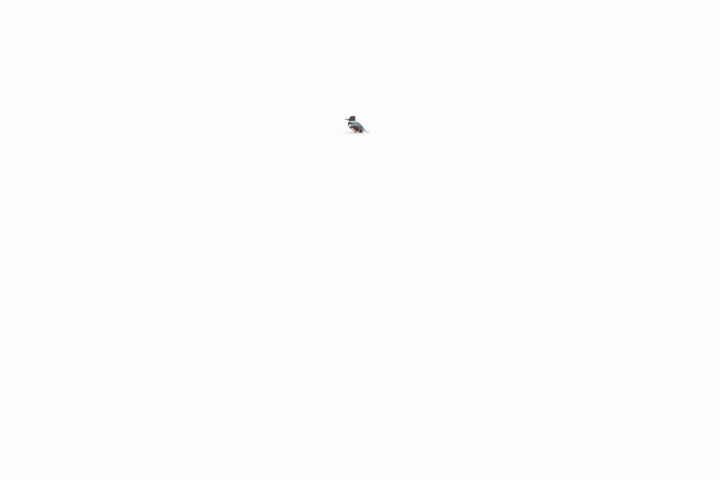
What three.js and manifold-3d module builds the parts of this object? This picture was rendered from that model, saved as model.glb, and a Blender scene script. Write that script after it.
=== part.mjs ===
/**
 * Belted kingfisher, adult female, life size, perched upright with its tail and wing tips at ground level.
 *
 * Millimetres. The bird faces -Y, its left side is +X, +Z is up, and Z = 0 is the ground under its
 * toes and tail tip. The origin is on the ground, below the middle of the bird's length and width.
 */
import * as THREE from 'three';
import { mergeVertices } from 'three/addons/utils/BufferGeometryUtils.js';
import Module from 'manifold-3d';

const wasm = await Module();
wasm.setup();

// Driving dimensions.
const PARTING = 0.3; // gap between neighbouring pieces
const SINK = 9; // how far a piece is rooted in the piece that carries it
const SMOOTHING = 0.19; // how far a face may move when slivers are merged away

const BILL = { length: 52, rise: 12, baseY: -60, baseZ: 136, culmen: 8.4, keel: 7.4, halfWidth: 6.6 };
const EYE = { radius: 6, y: -44.5, z: 150.5, proud: 1.7 };
const TAIL = {
  rootY: 58,
  rootZ: 47,
  bendY: 112,
  bendZ: 17,
  tipY: 151,
  halfWidth: 13,
  flare: 4,
  arch: 3.6, // how far its sides lie below its middle line
  thickness: 5.2,
  tipThickness: 2.8,
};
const WING = {
  wristY: -40,
  wristZ: 91,
  droop: 35,
  length: 156,
  depth: 9, // how far the lower edge lies below the line from wrist to tip
  sag: 11, // how much deeper it hangs beside the flank
  thickness: 5.4,
  tipThickness: 1.6,
};
const FOOT = { x: 15, y: 5, padRadius: 2.3, toeRadius: 1.75, clawLength: 6.5 };
const LEG = { heelY: 15, heelZ: 12.5, thighRadius: 6.5, heelRadius: 2.7, shankRadius: 2 };

// Stations of the trunk, from the throat to the tail root: the point on the back, the point on the
// breast or belly, and half the width between them.
const TRUNK_STATIONS = [
  { back: [-6, 152], belly: [-46, 136], half: 19 },
  { back: [2, 142], belly: [-55, 129], half: 23 },
  { back: [8, 130], belly: [-63, 120], half: 29 },
  { back: [20, 119], belly: [-71, 107], half: 35.5 },
  { back: [38, 110], belly: [-75, 88], half: 39.5 },
  { back: [55, 97.5], belly: [-68, 65], half: 41 },
  { back: [69, 85], belly: [-50, 41], half: 40 },
  { back: [80, 73], belly: [-26, 20], half: 36 },
  { back: [88, 63.5], belly: [7, 11], half: 29.5 },
  { back: [93.5, 55], belly: [38, 17.5], half: 22 },
  { back: [98.5, 45.5], belly: [66, 21.5], half: 16.5 },
  { back: [105, 35], belly: [88, 20.5], half: 13 },
  { back: [117, 22.5], belly: [112, 16], half: 10 },
];

// Stations of the head, from the bill to the nape.
const HEAD_STATIONS = [
  { back: [-63.5, 144], belly: [-62.5, 128.5], half: 6.5 },
  { back: [-60.5, 153.5], belly: [-59, 125.5], half: 12.5 },
  { back: [-54.5, 163], belly: [-53.5, 123.5], half: 17 },
  { back: [-45, 169.5], belly: [-45, 122.5], half: 20.5 },
  { back: [-33, 173], belly: [-34, 122], half: 22.5 },
  { back: [-20, 172.5], belly: [-20, 121.5], half: 23 },
  { back: [-8, 167.5], belly: [-8, 123], half: 21.5 },
  { back: [0, 159.5], belly: [1, 127], half: 18 },
  { back: [4.5, 151], belly: [5, 134], half: 11 },
];

// Stations of the raised crest, from the forehead to its hind corner.
const CREST_STATIONS = [
  { back: [-57, 163], belly: [-55, 158], half: 4.5 },
  { back: [-49.5, 171], belly: [-46, 156], half: 9.5 },
  { back: [-38, 177], belly: [-36, 156], half: 12.5 },
  { back: [-25, 179.2], belly: [-24, 154], half: 13 },
  { back: [-12, 177.8], belly: [-13, 150], half: 12.5 },
  { back: [-1, 178.2], belly: [-5, 143], half: 10.5 },
  { back: [7.5, 177], belly: [5, 140], half: 6.5 },
];

const TRUNK_SHAPE = { stations: TRUNK_STATIONS, rings: 23, sides: 26, fullness: 2.15, taper: 0 };
const HEAD_SHAPE = { stations: HEAD_STATIONS, rings: 14, sides: 22, fullness: 2.25, taper: 0.12 };
const CREST_SHAPE = { stations: CREST_STATIONS, rings: 11, sides: 16, fullness: 1.7, taper: 0.1 };

// Finishes of the life-like model.
const SLATE = { color: 0x4f5f68, roughness: 0.85 };
const DARK_SLATE = { color: 0x2b3a42, roughness: 0.85 };
const WHITE = { color: 0xe6e6e0, roughness: 0.9 };
const RUFOUS = { color: 0xa8572a, roughness: 0.9 };
const BLACK = { color: 0x15181a, roughness: 0.7 };
const HORN = { color: 0x2e3136, roughness: 0.4 };
const EYE_BROWN = { color: 0x1d120c, roughness: 0.08 };
const FOOT_GREY = { color: 0x6b5a55, roughness: 0.7 };

/** A closed loft over rings of points. Every ring has the same number of points. */
function loft(rings) {
  const sides = rings[0].length;
  const ends = [rings[0], rings.at(-1)].map((ring) => {
    const middle = new THREE.Vector3();
    ring.forEach((point) => middle.addScaledVector(point, 1 / sides));
    return middle;
  });
  const points = [...rings.flat(), ...ends];
  const index = [];
  for (let row = 0; row < rings.length - 1; row++) {
    for (let side = 0; side < sides; side++) {
      const next = (side + 1) % sides;
      const [a, b] = [row * sides + side, row * sides + next];
      index.push(a, b, b + sides, a, b + sides, a + sides);
    }
  }
  const last = (rings.length - 1) * sides;
  for (let side = 0; side < sides; side++) {
    const next = (side + 1) % sides;
    index.push(next, side, points.length - 2);
    index.push(last + side, last + next, points.length - 1);
  }
  const geometry = new THREE.BufferGeometry().setFromPoints(points);
  geometry.setIndex(index);
  return geometry;
}

/** Six times the volume that a closed geometry's faces enclose, negative when they face inwards. */
function facing(geometry) {
  const at = geometry.getAttribute('position');
  const [a, b, c] = [0, 1, 2].map(() => new THREE.Vector3());
  let total = 0;
  for (let face = 0; face < geometry.index.count; face += 3) {
    [a, b, c].forEach((corner, i) => corner.fromBufferAttribute(at, geometry.index.getX(face + i)));
    total += a.dot(b.cross(c));
  }
  return total;
}

/** A manifold solid from a closed geometry. */
function solid(geometry) {
  const bare = geometry.clone();
  bare.deleteAttribute('normal');
  bare.deleteAttribute('uv');
  const merged = mergeVertices(bare, 1e-4);
  const triVerts = new Uint32Array(merged.index.array);
  if (facing(merged) < 0) {
    triVerts.reverse();
  }
  const vertProperties = new Float32Array(merged.getAttribute('position').array);
  return new wasm.Manifold(new wasm.Mesh({ numProp: 3, vertProperties, triVerts }));
}

/** The biggest of the separate bodies of a solid, so that a cut leaves no crumbs. */
function biggest(body) {
  return body.decompose().reduce((best, piece) => (piece.volume() > best.volume() ? piece : best));
}

/** A block from its size and middle, tipped about the X axis by an angle in degrees. */
function block(size, middle, tip = 0) {
  const geometry = new THREE.BoxGeometry(...size);
  geometry.rotateX(THREE.MathUtils.degToRad(tip));
  geometry.translate(...middle);
  return solid(geometry);
}

/** Half of an ellipse-like curve: 1 in the middle and 0 at either end, fuller as the power grows. */
const swell = (q, power) => Math.max(0, 1 - Math.abs(q) ** power) ** (1 / power);

/** The section of a shape at t from 0 to 1: its back and belly points and its half width. */
function sectionOf(shape) {
  const curve = (pick) => new THREE.CatmullRomCurve3(shape.stations.map(pick));
  const back = curve(({ back: [y, z] }) => new THREE.Vector3(0, y, z));
  const belly = curve(({ belly: [y, z] }) => new THREE.Vector3(0, y, z));
  const half = curve(({ half: width }, i) => new THREE.Vector3(width, i, 0));
  return (t) => ({ back: back.getPoint(t), belly: belly.getPoint(t), half: half.getPoint(t).x });
}

/** A body lofted over its stations, grown all round by some millimetres. */
function stationBody(shape, grow = 0) {
  const section = sectionOf(shape);
  const rings = [];
  for (let row = 0; row < shape.rings; row++) {
    const { back, belly, half } = section(row / (shape.rings - 1));
    const middle = back.clone().add(belly).multiplyScalar(0.5);
    const up = back.clone().sub(belly).multiplyScalar(0.5);
    up.setLength(up.length() + grow);
    const ring = [];
    for (let side = 0; side < shape.sides; side++) {
      const angle = (side / shape.sides) * Math.PI * 2;
      const power = 2 / shape.fullness;
      const rise = Math.sign(Math.cos(angle)) * Math.abs(Math.cos(angle)) ** power;
      const reach = Math.sign(Math.sin(angle)) * Math.abs(Math.sin(angle)) ** power;
      const point = middle.clone().addScaledVector(up, rise);
      point.x = reach * (half + grow) * (1 - shape.taper * rise);
      ring.push(point);
    }
    rings.push(ring);
  }
  return solid(loft(rings));
}

/** How far a shape reaches sideways at a point of its side view, or 0 outside its outline. */
function sideReach(shape) {
  const section = sectionOf(shape);
  const turn = (t, y, z) => {
    const { back, belly } = section(t);
    return (back.y - belly.y) * (z - belly.z) - (back.z - belly.z) * (y - belly.y);
  };
  return (y, z) => {
    let [low, high] = [0, 1];
    const start = Math.sign(turn(low, y, z));
    for (let step = 0; step < 24; step++) {
      const mid = (low + high) / 2;
      [low, high] = Math.sign(turn(mid, y, z)) === start ? [mid, high] : [low, mid];
    }
    const { back, belly, half } = section(low);
    const along = new THREE.Vector3(0, y, z).sub(belly).dot(back.clone().sub(belly));
    const q = (2 * along) / back.distanceToSquared(belly) - 1;
    return half * swell(q, shape.fullness) * (1 - shape.taper * Math.min(1, Math.max(-1, q)));
  };
}

/** A limb of round sections along a smooth line through points of [x, y, z, radius]. */
function limb(points, rows, sides, flatten = 1) {
  const line = new THREE.CatmullRomCurve3(points.map(([x, y, z]) => new THREE.Vector3(x, y, z)));
  const girth = new THREE.CatmullRomCurve3(points.map((p, i) => new THREE.Vector3(p[3], i, 0)));
  const rings = [];
  for (let row = 0; row <= rows; row++) {
    const t = row / rows;
    const middle = line.getPoint(t);
    const tangent = line.getTangent(t);
    const across = new THREE.Vector3(1, 0, 0).addScaledVector(tangent, -tangent.x).normalize();
    const up = new THREE.Vector3().crossVectors(tangent, across);
    const radius = girth.getPoint(t).x;
    const ring = [];
    for (let side = 0; side < sides; side++) {
      const angle = (side / sides) * Math.PI * 2;
      const point = middle.clone().addScaledVector(across, radius * Math.cos(angle));
      ring.push(point.addScaledVector(up, radius * flatten * Math.sin(angle)));
    }
    rings.push(ring);
  }
  return solid(loft(rings));
}

/** The mirror image of a solid across the bird's middle plane. */
const mirrored = (body) => body.mirror([1, 0, 0]);

/** One half of the bill, +1 the upper and -1 the lower, grown all round by some millimetres. */
function mandible(half, grow = 0) {
  const tilt = THREE.MathUtils.degToRad(BILL.rise);
  const forward = new THREE.Vector3(0, -Math.cos(tilt), Math.sin(tilt));
  const up = new THREE.Vector3(0, Math.sin(tilt), Math.cos(tilt)).multiplyScalar(half);
  const base = new THREE.Vector3(0, BILL.baseY, BILL.baseZ);
  const length = BILL.length - (half < 0 ? 1 : 0);
  const height = half > 0 ? BILL.culmen : BILL.keel;
  const [rows, sides] = [10, 11];
  const rings = [];
  for (let row = 0; row <= rows; row++) {
    const s = row === 0 ? -SINK - grow : -SINK + (length + SINK) * (1 - (1 - row / rows) ** 1.4);
    const left = Math.max(0, 1 - Math.max(0, s) / length);
    const rise = height * left ** 0.72 + 0.35 + 2 * grow;
    const reach = BILL.halfWidth * left ** 0.85 + 0.35 + grow;
    const middle = base.clone().addScaledVector(forward, s).addScaledVector(up, PARTING / 2 - grow);
    const ring = [];
    for (let side = 0; side < sides; side++) {
      const angle = (side / (sides - 1)) * Math.PI;
      const point = middle.clone().addScaledVector(up, rise * Math.sin(angle) ** 1.15);
      point.x = reach * Math.cos(angle);
      ring.push(point);
    }
    rings.push(ring);
  }
  return solid(loft(rings));
}

/** The left eyeball, grown by some millimetres. */
function eyeball(grow = 0) {
  const geometry = new THREE.SphereGeometry(EYE.radius + grow, 14, 10);
  geometry.rotateZ(Math.PI / 2);
  const reach = sideReach(HEAD_SHAPE)(EYE.y, EYE.z);
  geometry.translate(reach + EYE.proud - EYE.radius, EYE.y, EYE.z);
  return solid(geometry);
}

/** The closed fan of tail feathers, which bends flat where it lies on the ground. */
function tailFan(grow = 0) {
  const root = new THREE.Vector3(0, TAIL.rootY, TAIL.rootZ);
  const tip = new THREE.Vector3(0, TAIL.tipY, TAIL.tipThickness / 2 - 0.35);
  const bend = new THREE.Vector3(0, TAIL.bendY, TAIL.bendZ);
  const line = new THREE.QuadraticBezierCurve3(root, bend, tip);
  const [rows, sides] = [14, 14];
  const rings = [];
  for (let row = 0; row <= rows; row++) {
    const t = 1 - (1 - row / rows) ** 1.5;
    const middle = line.getPoint(t);
    const tangent = line.getTangent(t);
    const up = new THREE.Vector3(0, -tangent.z, tangent.y);
    const roundEnd = Math.sqrt(Math.max(0, 1 - (Math.max(0, t - 0.84) / 0.165) ** 2));
    const reach = (TAIL.halfWidth + TAIL.flare * t) * roundEnd + grow;
    const thick = THREE.MathUtils.lerp(TAIL.thickness, TAIL.tipThickness, t) / 2 + grow;
    const ring = [];
    for (let side = 0; side < sides; side++) {
      const angle = (side / sides) * Math.PI * 2;
      const across = Math.cos(angle);
      const arch = TAIL.arch * ((reach * across) / (TAIL.halfWidth + TAIL.flare)) ** 2;
      const rise = thick * Math.sign(Math.sin(angle)) * Math.abs(Math.sin(angle)) ** 0.6 - arch;
      const point = middle.clone().addScaledVector(up, rise);
      point.x = reach * across;
      ring.push(point);
    }
    rings.push(ring);
  }
  return solid(loft(rings));
}

/** Lowest and highest edge of the folded wing, u millimetres behind the wrist, across its length. */
function wingEdges(u) {
  const { smoothstep } = THREE.MathUtils;
  const along = Math.min(1, Math.max(0, (u + WING.depth) / (WING.length + WING.depth)));
  const flank = WING.sag * Math.max(0, Math.sin(Math.PI * along ** 1.6)) ** 1.6;
  const low = -WING.depth * Math.sin(Math.PI * along ** 0.75) ** 0.7 - flank;
  const shoulder = 52 * Math.sin((Math.PI / 2) * Math.min(1, (u + WING.depth) / 80)) ** 0.55;
  const tertials = (shoulder - 22) * smoothstep(u, 96, 124);
  const high = (shoulder - tertials) * (1 - 0.96 * Math.max(0, (u - 108) / (WING.length - 108)) ** 1.3);
  return { low, high: Math.max(low + 1.2, high) };
}

/** The left wing, folded along the side of the trunk, its tip free of the body. */
function foldedWing() {
  const droop = THREE.MathUtils.degToRad(WING.droop);
  const reachAt = sideReach(TRUNK_SHAPE);
  const [rows, half] = [22, 7];
  const rings = [];
  for (let row = 0; row <= rows; row++) {
    const u = -WING.depth + 1 + (WING.length + WING.depth - 1) * (row / rows);
    const { low, high } = wingEdges(u);
    const far = Math.max(0, u) / WING.length;
    const blade = THREE.MathUtils.lerp(44, 19.5, THREE.MathUtils.smoothstep(far, 0.25, 1.05));
    const [outer, inner] = [[], []];
    for (let step = 0; step <= half; step++) {
      const q = (2 * step) / half - 1;
      const v = (low + high) / 2 + (q * (high - low)) / 2;
      const y = WING.wristY + u * Math.cos(droop) + v * Math.sin(droop);
      const z = WING.wristZ - u * Math.sin(droop) + v * Math.cos(droop);
      const thick = THREE.MathUtils.lerp(WING.thickness, WING.tipThickness, far ** 0.7);
      const edge = 0.35 + 0.65 * swell(q, 2.4);
      const tuck = 0.3 * Math.max(0, -v) * far;
      const lean = blade - 0.42 * Math.max(0, v) * far - tuck - 2.5 * q * q;
      const hugging = reachAt(y, z) + thick * edge;
      const free = lean * THREE.MathUtils.smoothstep(u, 20, 70);
      const surface = Math.hypot(Math.max(hugging, free), 6);
      outer.push(new THREE.Vector3(surface, y, z));
      inner.unshift(new THREE.Vector3(surface - thick * edge - 0.5 * edge, y, z));
    }
    rings.push([...outer, ...inner]);
  }
  return solid(loft(rings));
}

/** One toe of the left foot, from the pad outwards at an angle from straight ahead, in degrees. */
function toe(heading, length) {
  const turn = THREE.MathUtils.degToRad(heading);
  const [x, y] = [Math.sin(turn), -Math.cos(turn)];
  const at = (s, z, radius) => [FOOT.x + x * s, FOOT.y + y * s, z, radius];
  const r = FOOT.toeRadius;
  const knuckle = at(length * 0.68, r * 1.05, r * 0.9);
  const joints = [at(0, r + 0.4, r * 1.25), at(length * 0.35, r * 0.95, r), knuckle];
  const end = at(length, r * 0.72, r * 0.74);
  const tip = at(length + FOOT.clawLength, 0.35, 0.25);
  const arch = at(length + FOOT.clawLength * 0.5, r * 0.95, r * 0.5);
  const root = at(length + PARTING, r * 0.85, r * 0.55);
  return { toe: limb([...joints, end], 4, 7), claw: limb([root, arch, tip], 4, 6) };
}

/** The left foot: three toes ahead, the outer two joined for most of their length, and one behind. */
function footPieces() {
  const toes = [toe(-16, 11), toe(4, 17), toe(15, 15.5), toe(176, 8.5)];
  const pad = new THREE.SphereGeometry(FOOT.padRadius, 10, 6);
  pad.translate(FOOT.x, FOOT.y, FOOT.padRadius - 0.4);
  const web = limb([[FOOT.x + 0.5, 3, 1.3, 2.1], [FOOT.x + 1.6, -7.5, 1.2, 1.5]], 1, 6);
  const ground = block([400, 600, 40], [0, 0, -20]);
  const joined = toes.reduce((sum, each) => sum.add(each.toe), solid(pad).add(web));
  const claws = toes.map((each) => each.claw.subtract(ground));
  return { foot: biggest(joined.subtract(ground).subtract(legPiece(PARTING))), claws };
}

/** The left leg: a feathered thigh that leaves the belly, the heel, and the short bare shank. */
function legPiece(grow = 0) {
  const line = [
    [FOOT.x - 0.5, 8, 26, LEG.thighRadius + grow],
    [FOOT.x, LEG.heelY - 1, 17.5, LEG.heelRadius * 1.5 + grow],
    [FOOT.x, LEG.heelY, LEG.heelZ, LEG.heelRadius + grow],
    [FOOT.x, (LEG.heelY + FOOT.y) / 2 + 0.5, 7.6, LEG.shankRadius + grow],
    [FOOT.x, FOOT.y + 1, 3.6, LEG.shankRadius + grow],
  ];
  return limb(line, 9, 10);
}

/** Cuts a body in two with a thin slab through two points of its side view, the upper piece first. */
function parted(body, [y1, z1], [y2, z2]) {
  const tip = THREE.MathUtils.radToDeg(Math.atan2(z2 - z1, y2 - y1));
  const slab = block([300, 500, PARTING], [0, (y1 + y2) / 2, (z1 + z2) / 2], tip);
  const pieces = body.subtract(slab).decompose();
  pieces.sort((a, b) => b.volume() - a.volume());
  const height = (piece) => (piece.boundingBox().max[2] + piece.boundingBox().min[2]) / 2;
  return pieces.slice(0, 2).sort((a, b) => height(b) - height(a));
}

const group = new THREE.Group();

/** Adds one solid to the bird as a named mesh, without the slivers that cutting leaves. */
function addPiece(name, body, finish) {
  const mesh = body.simplify(SMOOTHING).getMesh();
  const geometry = new THREE.BufferGeometry();
  geometry.setAttribute('position', new THREE.BufferAttribute(mesh.vertProperties, 3));
  geometry.setIndex(new THREE.BufferAttribute(mesh.triVerts, 1));
  geometry.computeVertexNormals();
  const piece = new THREE.Mesh(geometry, new THREE.MeshStandardMaterial({ metalness: 0, ...finish }));
  piece.name = name;
  group.add(piece);
}

/** Adds a left piece and its mirror image on the right. */
function addPair(name, body, finish) {
  addPiece(`${name}_left`, body, finish);
  addPiece(`${name}_right`, mirrored(body), finish);
}

const ground = block([400, 600, 40], [0, 0, -20]);
const headBody = stationBody(HEAD_SHAPE);
const tail = tailFan();
const { foot, claws } = footPieces();
const leg = legPiece();

// The head and trunk are one body, parted at the cheek, at the collar and at the rump.
let flesh = headBody.add(stationBody(TRUNK_SHAPE));
flesh = flesh.subtract(mandible(1, PARTING).add(mandible(-1, PARTING)));
flesh = flesh.subtract(eyeball(PARTING)).subtract(mirrored(eyeball(PARTING)));
flesh = flesh.subtract(tailFan(PARTING));
flesh = flesh.subtract(legPiece(PARTING)).subtract(mirrored(legPiece(PARTING)));
const [head, belowHead] = parted(flesh, [-60, 125.5], [8, 133]);
const [neck, belowNeck] = parted(belowHead, [-66, 115.5], [14, 116.5]);
const [trunk, rump] = parted(belowNeck, [80, 95], [40, 5]);

const crest = biggest(stationBody(CREST_SHAPE).subtract(stationBody(HEAD_SHAPE, PARTING)));
const wingWhole = biggest(foldedWing().subtract(stationBody(TRUNK_SHAPE, PARTING)).subtract(ground));
const [wing, primaries] = parted(wingWhole, [0, 53], [71, 40]);

addPiece('head', head, DARK_SLATE);
addPiece('crest', crest, DARK_SLATE);
addPiece('bill_upper', mandible(1), HORN);
addPiece('bill_lower', mandible(-1), HORN);
addPair('eye', eyeball(), EYE_BROWN);
addPiece('neck', neck, WHITE);
addPiece('trunk', trunk, RUFOUS);
addPiece('rump', rump, SLATE);
addPiece('tail', tail.subtract(ground), BLACK);
addPair('wing', wing, SLATE);
addPair('primaries', primaries, BLACK);
addPair('leg', leg, FOOT_GREY);
addPair('foot', foot, FOOT_GREY);
claws.forEach((claw, i) => addPair(`claw_${i + 1}`, claw, HORN));

// The stations are measured from above the feet, and the origin is below the middle of the whole bird.
group.position.y = -new THREE.Box3().setFromObject(group).getCenter(new THREE.Vector3()).y;

export default group;
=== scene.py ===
"""Belted kingfisher, adult female: one skin under a coat of separate feathers, with bill, eyes and feet."""

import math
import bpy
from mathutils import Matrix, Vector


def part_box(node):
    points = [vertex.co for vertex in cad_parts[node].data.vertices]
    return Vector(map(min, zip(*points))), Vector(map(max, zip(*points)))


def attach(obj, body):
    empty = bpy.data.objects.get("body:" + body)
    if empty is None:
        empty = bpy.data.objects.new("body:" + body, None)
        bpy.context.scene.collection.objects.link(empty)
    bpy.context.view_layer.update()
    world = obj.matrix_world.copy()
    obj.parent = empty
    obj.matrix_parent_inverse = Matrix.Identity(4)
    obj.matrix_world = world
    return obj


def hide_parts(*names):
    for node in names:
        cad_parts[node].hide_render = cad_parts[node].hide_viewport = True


bl_info = {
    "name": "Belted kingfisher",
    "version": (1, 0, 0),
    "blender": (4, 5, 0),
    "location": "3D View > Sidebar > Kingfisher",
    "description": "Feathers a life-size belted kingfisher over its packed solids",
    "category": "Add Mesh",
}

import bpy
import numpy as np
from mathutils import Matrix, Vector
from mathutils.bvhtree import BVHTree

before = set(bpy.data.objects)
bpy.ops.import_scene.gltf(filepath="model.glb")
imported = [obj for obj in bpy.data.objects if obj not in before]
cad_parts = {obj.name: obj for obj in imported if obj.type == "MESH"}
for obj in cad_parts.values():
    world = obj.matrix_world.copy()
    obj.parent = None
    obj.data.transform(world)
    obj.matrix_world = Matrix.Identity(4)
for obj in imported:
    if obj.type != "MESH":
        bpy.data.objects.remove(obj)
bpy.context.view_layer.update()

MM = 0.001
SIDES = {"left": 1, "right": -1}
FLESH = ("head", "crest", "neck", "trunk", "rump", "wing_left", "wing_right")


def middle(node):
    """The middle of a CAD node's box."""
    low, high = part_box(node)
    return (low + high) / 2


def paint(code):
    """A colour written as six hexadecimal digits, as the linear colour that materials take."""
    parts = [int(code[i : i + 2], 16) / 255 for i in (0, 2, 4)]
    return tuple(c / 12.92 if c <= 0.04045 else ((c + 0.055) / 1.055) ** 2.4 for c in parts)


def shaded(colour, share):
    """A colour with its light cut down to a share."""
    return [part * share for part in colour]


# Landmarks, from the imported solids. The folded wing lies along a line that droops from its wrist.
EYE = middle("eye_left")
EYE_RADIUS = (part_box("eye_left")[1].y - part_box("eye_left")[0].y) / 2
EYE_HEIGHT = EYE.z / MM
GAPE = Vector((0, EYE.y - 15.5 * MM, EYE.z - 15 * MM))
WING_DROOP = math.radians(35)
WING_AXIS = Vector((0, math.cos(WING_DROOP), -math.sin(WING_DROOP)))
WING_UP = Vector((0, math.sin(WING_DROOP), math.cos(WING_DROOP)))
WING_LENGTH = 156
WING_EDGE = 12  # how far the wing's lower feathers lie below its line
WING_SAG = 18  # how much deeper than that they hang by the flank
WING_FRONT = 9  # how far its front lies ahead of the wrist
WING_TIP = Vector((0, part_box("primaries_left")[1].y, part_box("primaries_left")[0].z))
WRIST = WING_TIP - WING_AXIS * (WING_LENGTH * MM)
BODY_AXIS = Vector((0, math.cos(math.radians(40)), -math.sin(math.radians(40))))


def landmarks(points):
    """Millimetres behind the eye, above the ground and out to the side, for an array of points."""
    points = np.asarray(points, float).reshape(-1, 3)
    return (points[:, 1] - EYE.y) / MM, points[:, 2] / MM, np.abs(points[:, 0]) / MM


def from_gape(points):
    """How far each point is from the root of the gape, in millimetres."""
    return np.linalg.norm(points - np.array(GAPE), axis=1) / MM


def eye_at(sign):
    """The middle of the left eye, or of the right one for a sign below 0."""
    return Vector((math.copysign(EYE.x, sign), EYE.y, EYE.z))


def ease(low, high, value):
    """0 below low, 1 above high, and a smooth step between them."""
    t = np.clip((value - low) / (high - low), 0, 1)
    return t * t * (3 - 2 * t)


class Sizes(bpy.types.PropertyGroup):
    """Sizes of the skin and of the coat."""

    skin_cell: bpy.props.FloatProperty(
        name="Skin cell", description="Edge of the skin's cells", default=1.2 * MM, unit="LENGTH"
    )
    face_depth: bpy.props.FloatProperty(
        name="Face coat", description="Depth of the coat round the bill", default=0.7 * MM, unit="LENGTH"
    )
    head_depth: bpy.props.FloatProperty(
        name="Head coat", description="Depth of the coat on crown and cheeks", default=1.7 * MM, unit="LENGTH"
    )
    crest_depth: bpy.props.FloatProperty(
        name="Crest coat", description="Depth of the crest's long feathers", default=3.4 * MM, unit="LENGTH"
    )
    body_depth: bpy.props.FloatProperty(
        name="Body coat", description="Depth of the coat on breast and belly", default=3.0 * MM, unit="LENGTH"
    )
    wing_depth: bpy.props.FloatProperty(
        name="Wing coat", description="Depth of the coverts over the wing", default=1.2 * MM, unit="LENGTH"
    )


class Colours(bpy.types.PropertyGroup):
    """Colours of the plumage and bare parts."""

    slate: bpy.props.FloatVectorProperty(
        name="Slate", description="Head and breast band", subtype="COLOR", default=paint("3d525b")
    )
    ink: bpy.props.FloatVectorProperty(
        name="Ink", description="Shaft streaks, lores and wing tips", subtype="COLOR", default=paint("10151a")
    )
    back: bpy.props.FloatVectorProperty(
        name="Back", description="Back, shoulders and rump", subtype="COLOR", default=paint("84939e")
    )
    white: bpy.props.FloatVectorProperty(
        name="White", description="Collar, throat and belly", subtype="COLOR", default=paint("fbfbf7")
    )
    rufous: bpy.props.FloatVectorProperty(
        name="Rufous", description="Lower breast band and flanks", subtype="COLOR", default=paint("a23f0c")
    )
    sand: bpy.props.FloatVectorProperty(
        name="Sand", description="Paler rear of the rufous flanks", subtype="COLOR", default=paint("cc7c40")
    )
    horn: bpy.props.FloatVectorProperty(
        name="Horn", description="Bill and claws", subtype="COLOR", default=paint("14121d")
    )
    foot: bpy.props.FloatVectorProperty(
        name="Foot", description="Shanks, toes and lids", subtype="COLOR", default=paint("6a5854")
    )


def sizes():
    return bpy.context.scene.kingfisher_sizes


def colours():
    return bpy.context.scene.kingfisher_colours


# Shader maths


class Wire:
    """A shader value whose arithmetic adds Math nodes."""

    def __init__(self, board, socket):
        self.board = board
        self.socket = socket

    def __add__(self, other):
        return self.board.math("ADD", self, other)

    __radd__ = __add__

    def __sub__(self, other):
        return self.board.math("SUBTRACT", self, other)

    def __rsub__(self, other):
        return self.board.math("SUBTRACT", other, self)

    def __mul__(self, other):
        return self.board.math("MULTIPLY", self, other)

    __rmul__ = __mul__

    def __truediv__(self, other):
        return self.board.math("DIVIDE", self, other)

    def __abs__(self):
        return self.board.math("ABSOLUTE", self)


class Board:
    """A material's nodes, and short names for the ones that this bird needs."""

    def __init__(self, name, roughness, coat=0.0, specular=0.5, sheen=0.0):
        self.material = bpy.data.materials.new(name)
        self.material.use_nodes = True
        self.tree = self.material.node_tree
        self.shader = self.tree.nodes["Principled BSDF"]
        self.shader.inputs["Roughness"].default_value = roughness
        self.shader.inputs["Coat Weight"].default_value = coat
        self.shader.inputs["Coat Roughness"].default_value = 0.03
        self.shader.inputs["Specular IOR Level"].default_value = specular
        self.shader.inputs["Sheen Weight"].default_value = sheen

    def node(self, kind, settings=None, **inputs):
        """A node of a kind, its settings set first, then its inputs, by name or as i and a number."""
        node = self.tree.nodes.new(kind)
        for key, value in (settings or {}).items():
            setattr(node, key, value)
        for key, value in inputs.items():
            index = int(key[1:]) if key[0] == "i" and key[1:].isdigit() else key
            self.plug(node.inputs[index], value)
        return node

    def plug(self, socket, value):
        """Links a wire or socket to a socket, or sets its value."""
        value = value.socket if isinstance(value, Wire) else value
        if isinstance(value, bpy.types.NodeSocket):
            self.tree.links.new(value, socket)
        elif socket.type == "RGBA":
            socket.default_value = (*value[:3], 1)
        else:
            socket.default_value = value

    def math(self, operation, first, second=0.0):
        node = self.node("ShaderNodeMath", {"operation": operation}, i0=first, i1=second)
        return Wire(self, node.outputs[0])

    def least(self, first, second):
        return self.math("MINIMUM", first, second)

    def most(self, first, second):
        return self.math("MAXIMUM", first, second)

    def step(self, low, high, value):
        """0 at low, 1 at high, smooth between; low may be the larger."""
        ends = (high, low, 1.0, 0.0) if low > high else (low, high, 0.0, 1.0)
        settings = {"interpolation_type": "SMOOTHSTEP"}
        node = self.node(
            "ShaderNodeMapRange", settings, Value=value, i1=ends[0], i2=ends[1], i3=ends[2], i4=ends[3]
        )
        return Wire(self, node.outputs[0])

    def mix(self, factor, first, second):
        """A colour between two."""
        node = self.node("ShaderNodeMix", {"data_type": "RGBA"}, i0=factor, i6=first, i7=second)
        return node.outputs[2]

    def noise(self, vector, scale, detail=2.0):
        node = self.node("ShaderNodeTexNoise", Vector=vector, Scale=scale, Detail=detail)
        return Wire(self, node.outputs[0])

    def point(self):
        return self.node("ShaderNodeTexCoord").outputs["Object"]

    def attribute(self, name, output="Fac"):
        node = self.node("ShaderNodeAttribute", {"attribute_name": name})
        return Wire(self, node.outputs[output])

    def place(self, vector):
        """Side, behind-the-eye and height wires, in millimetres, of a point."""
        parts = self.node("ShaderNodeSeparateXYZ", Vector=vector).outputs
        x, y, z = (Wire(self, part) for part in parts)
        return abs(x) * (1 / MM), (y - EYE.y) * (1 / MM), z * (1 / MM)

    def bump(self, height, distance, strength=0.5):
        node = self.node("ShaderNodeBump", Height=height, Distance=distance, Strength=strength)
        self.plug(self.shader.inputs["Normal"], node.outputs[0])

    def colour(self, value):
        self.plug(self.shader.inputs["Base Color"], value)
        return self.material


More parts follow.
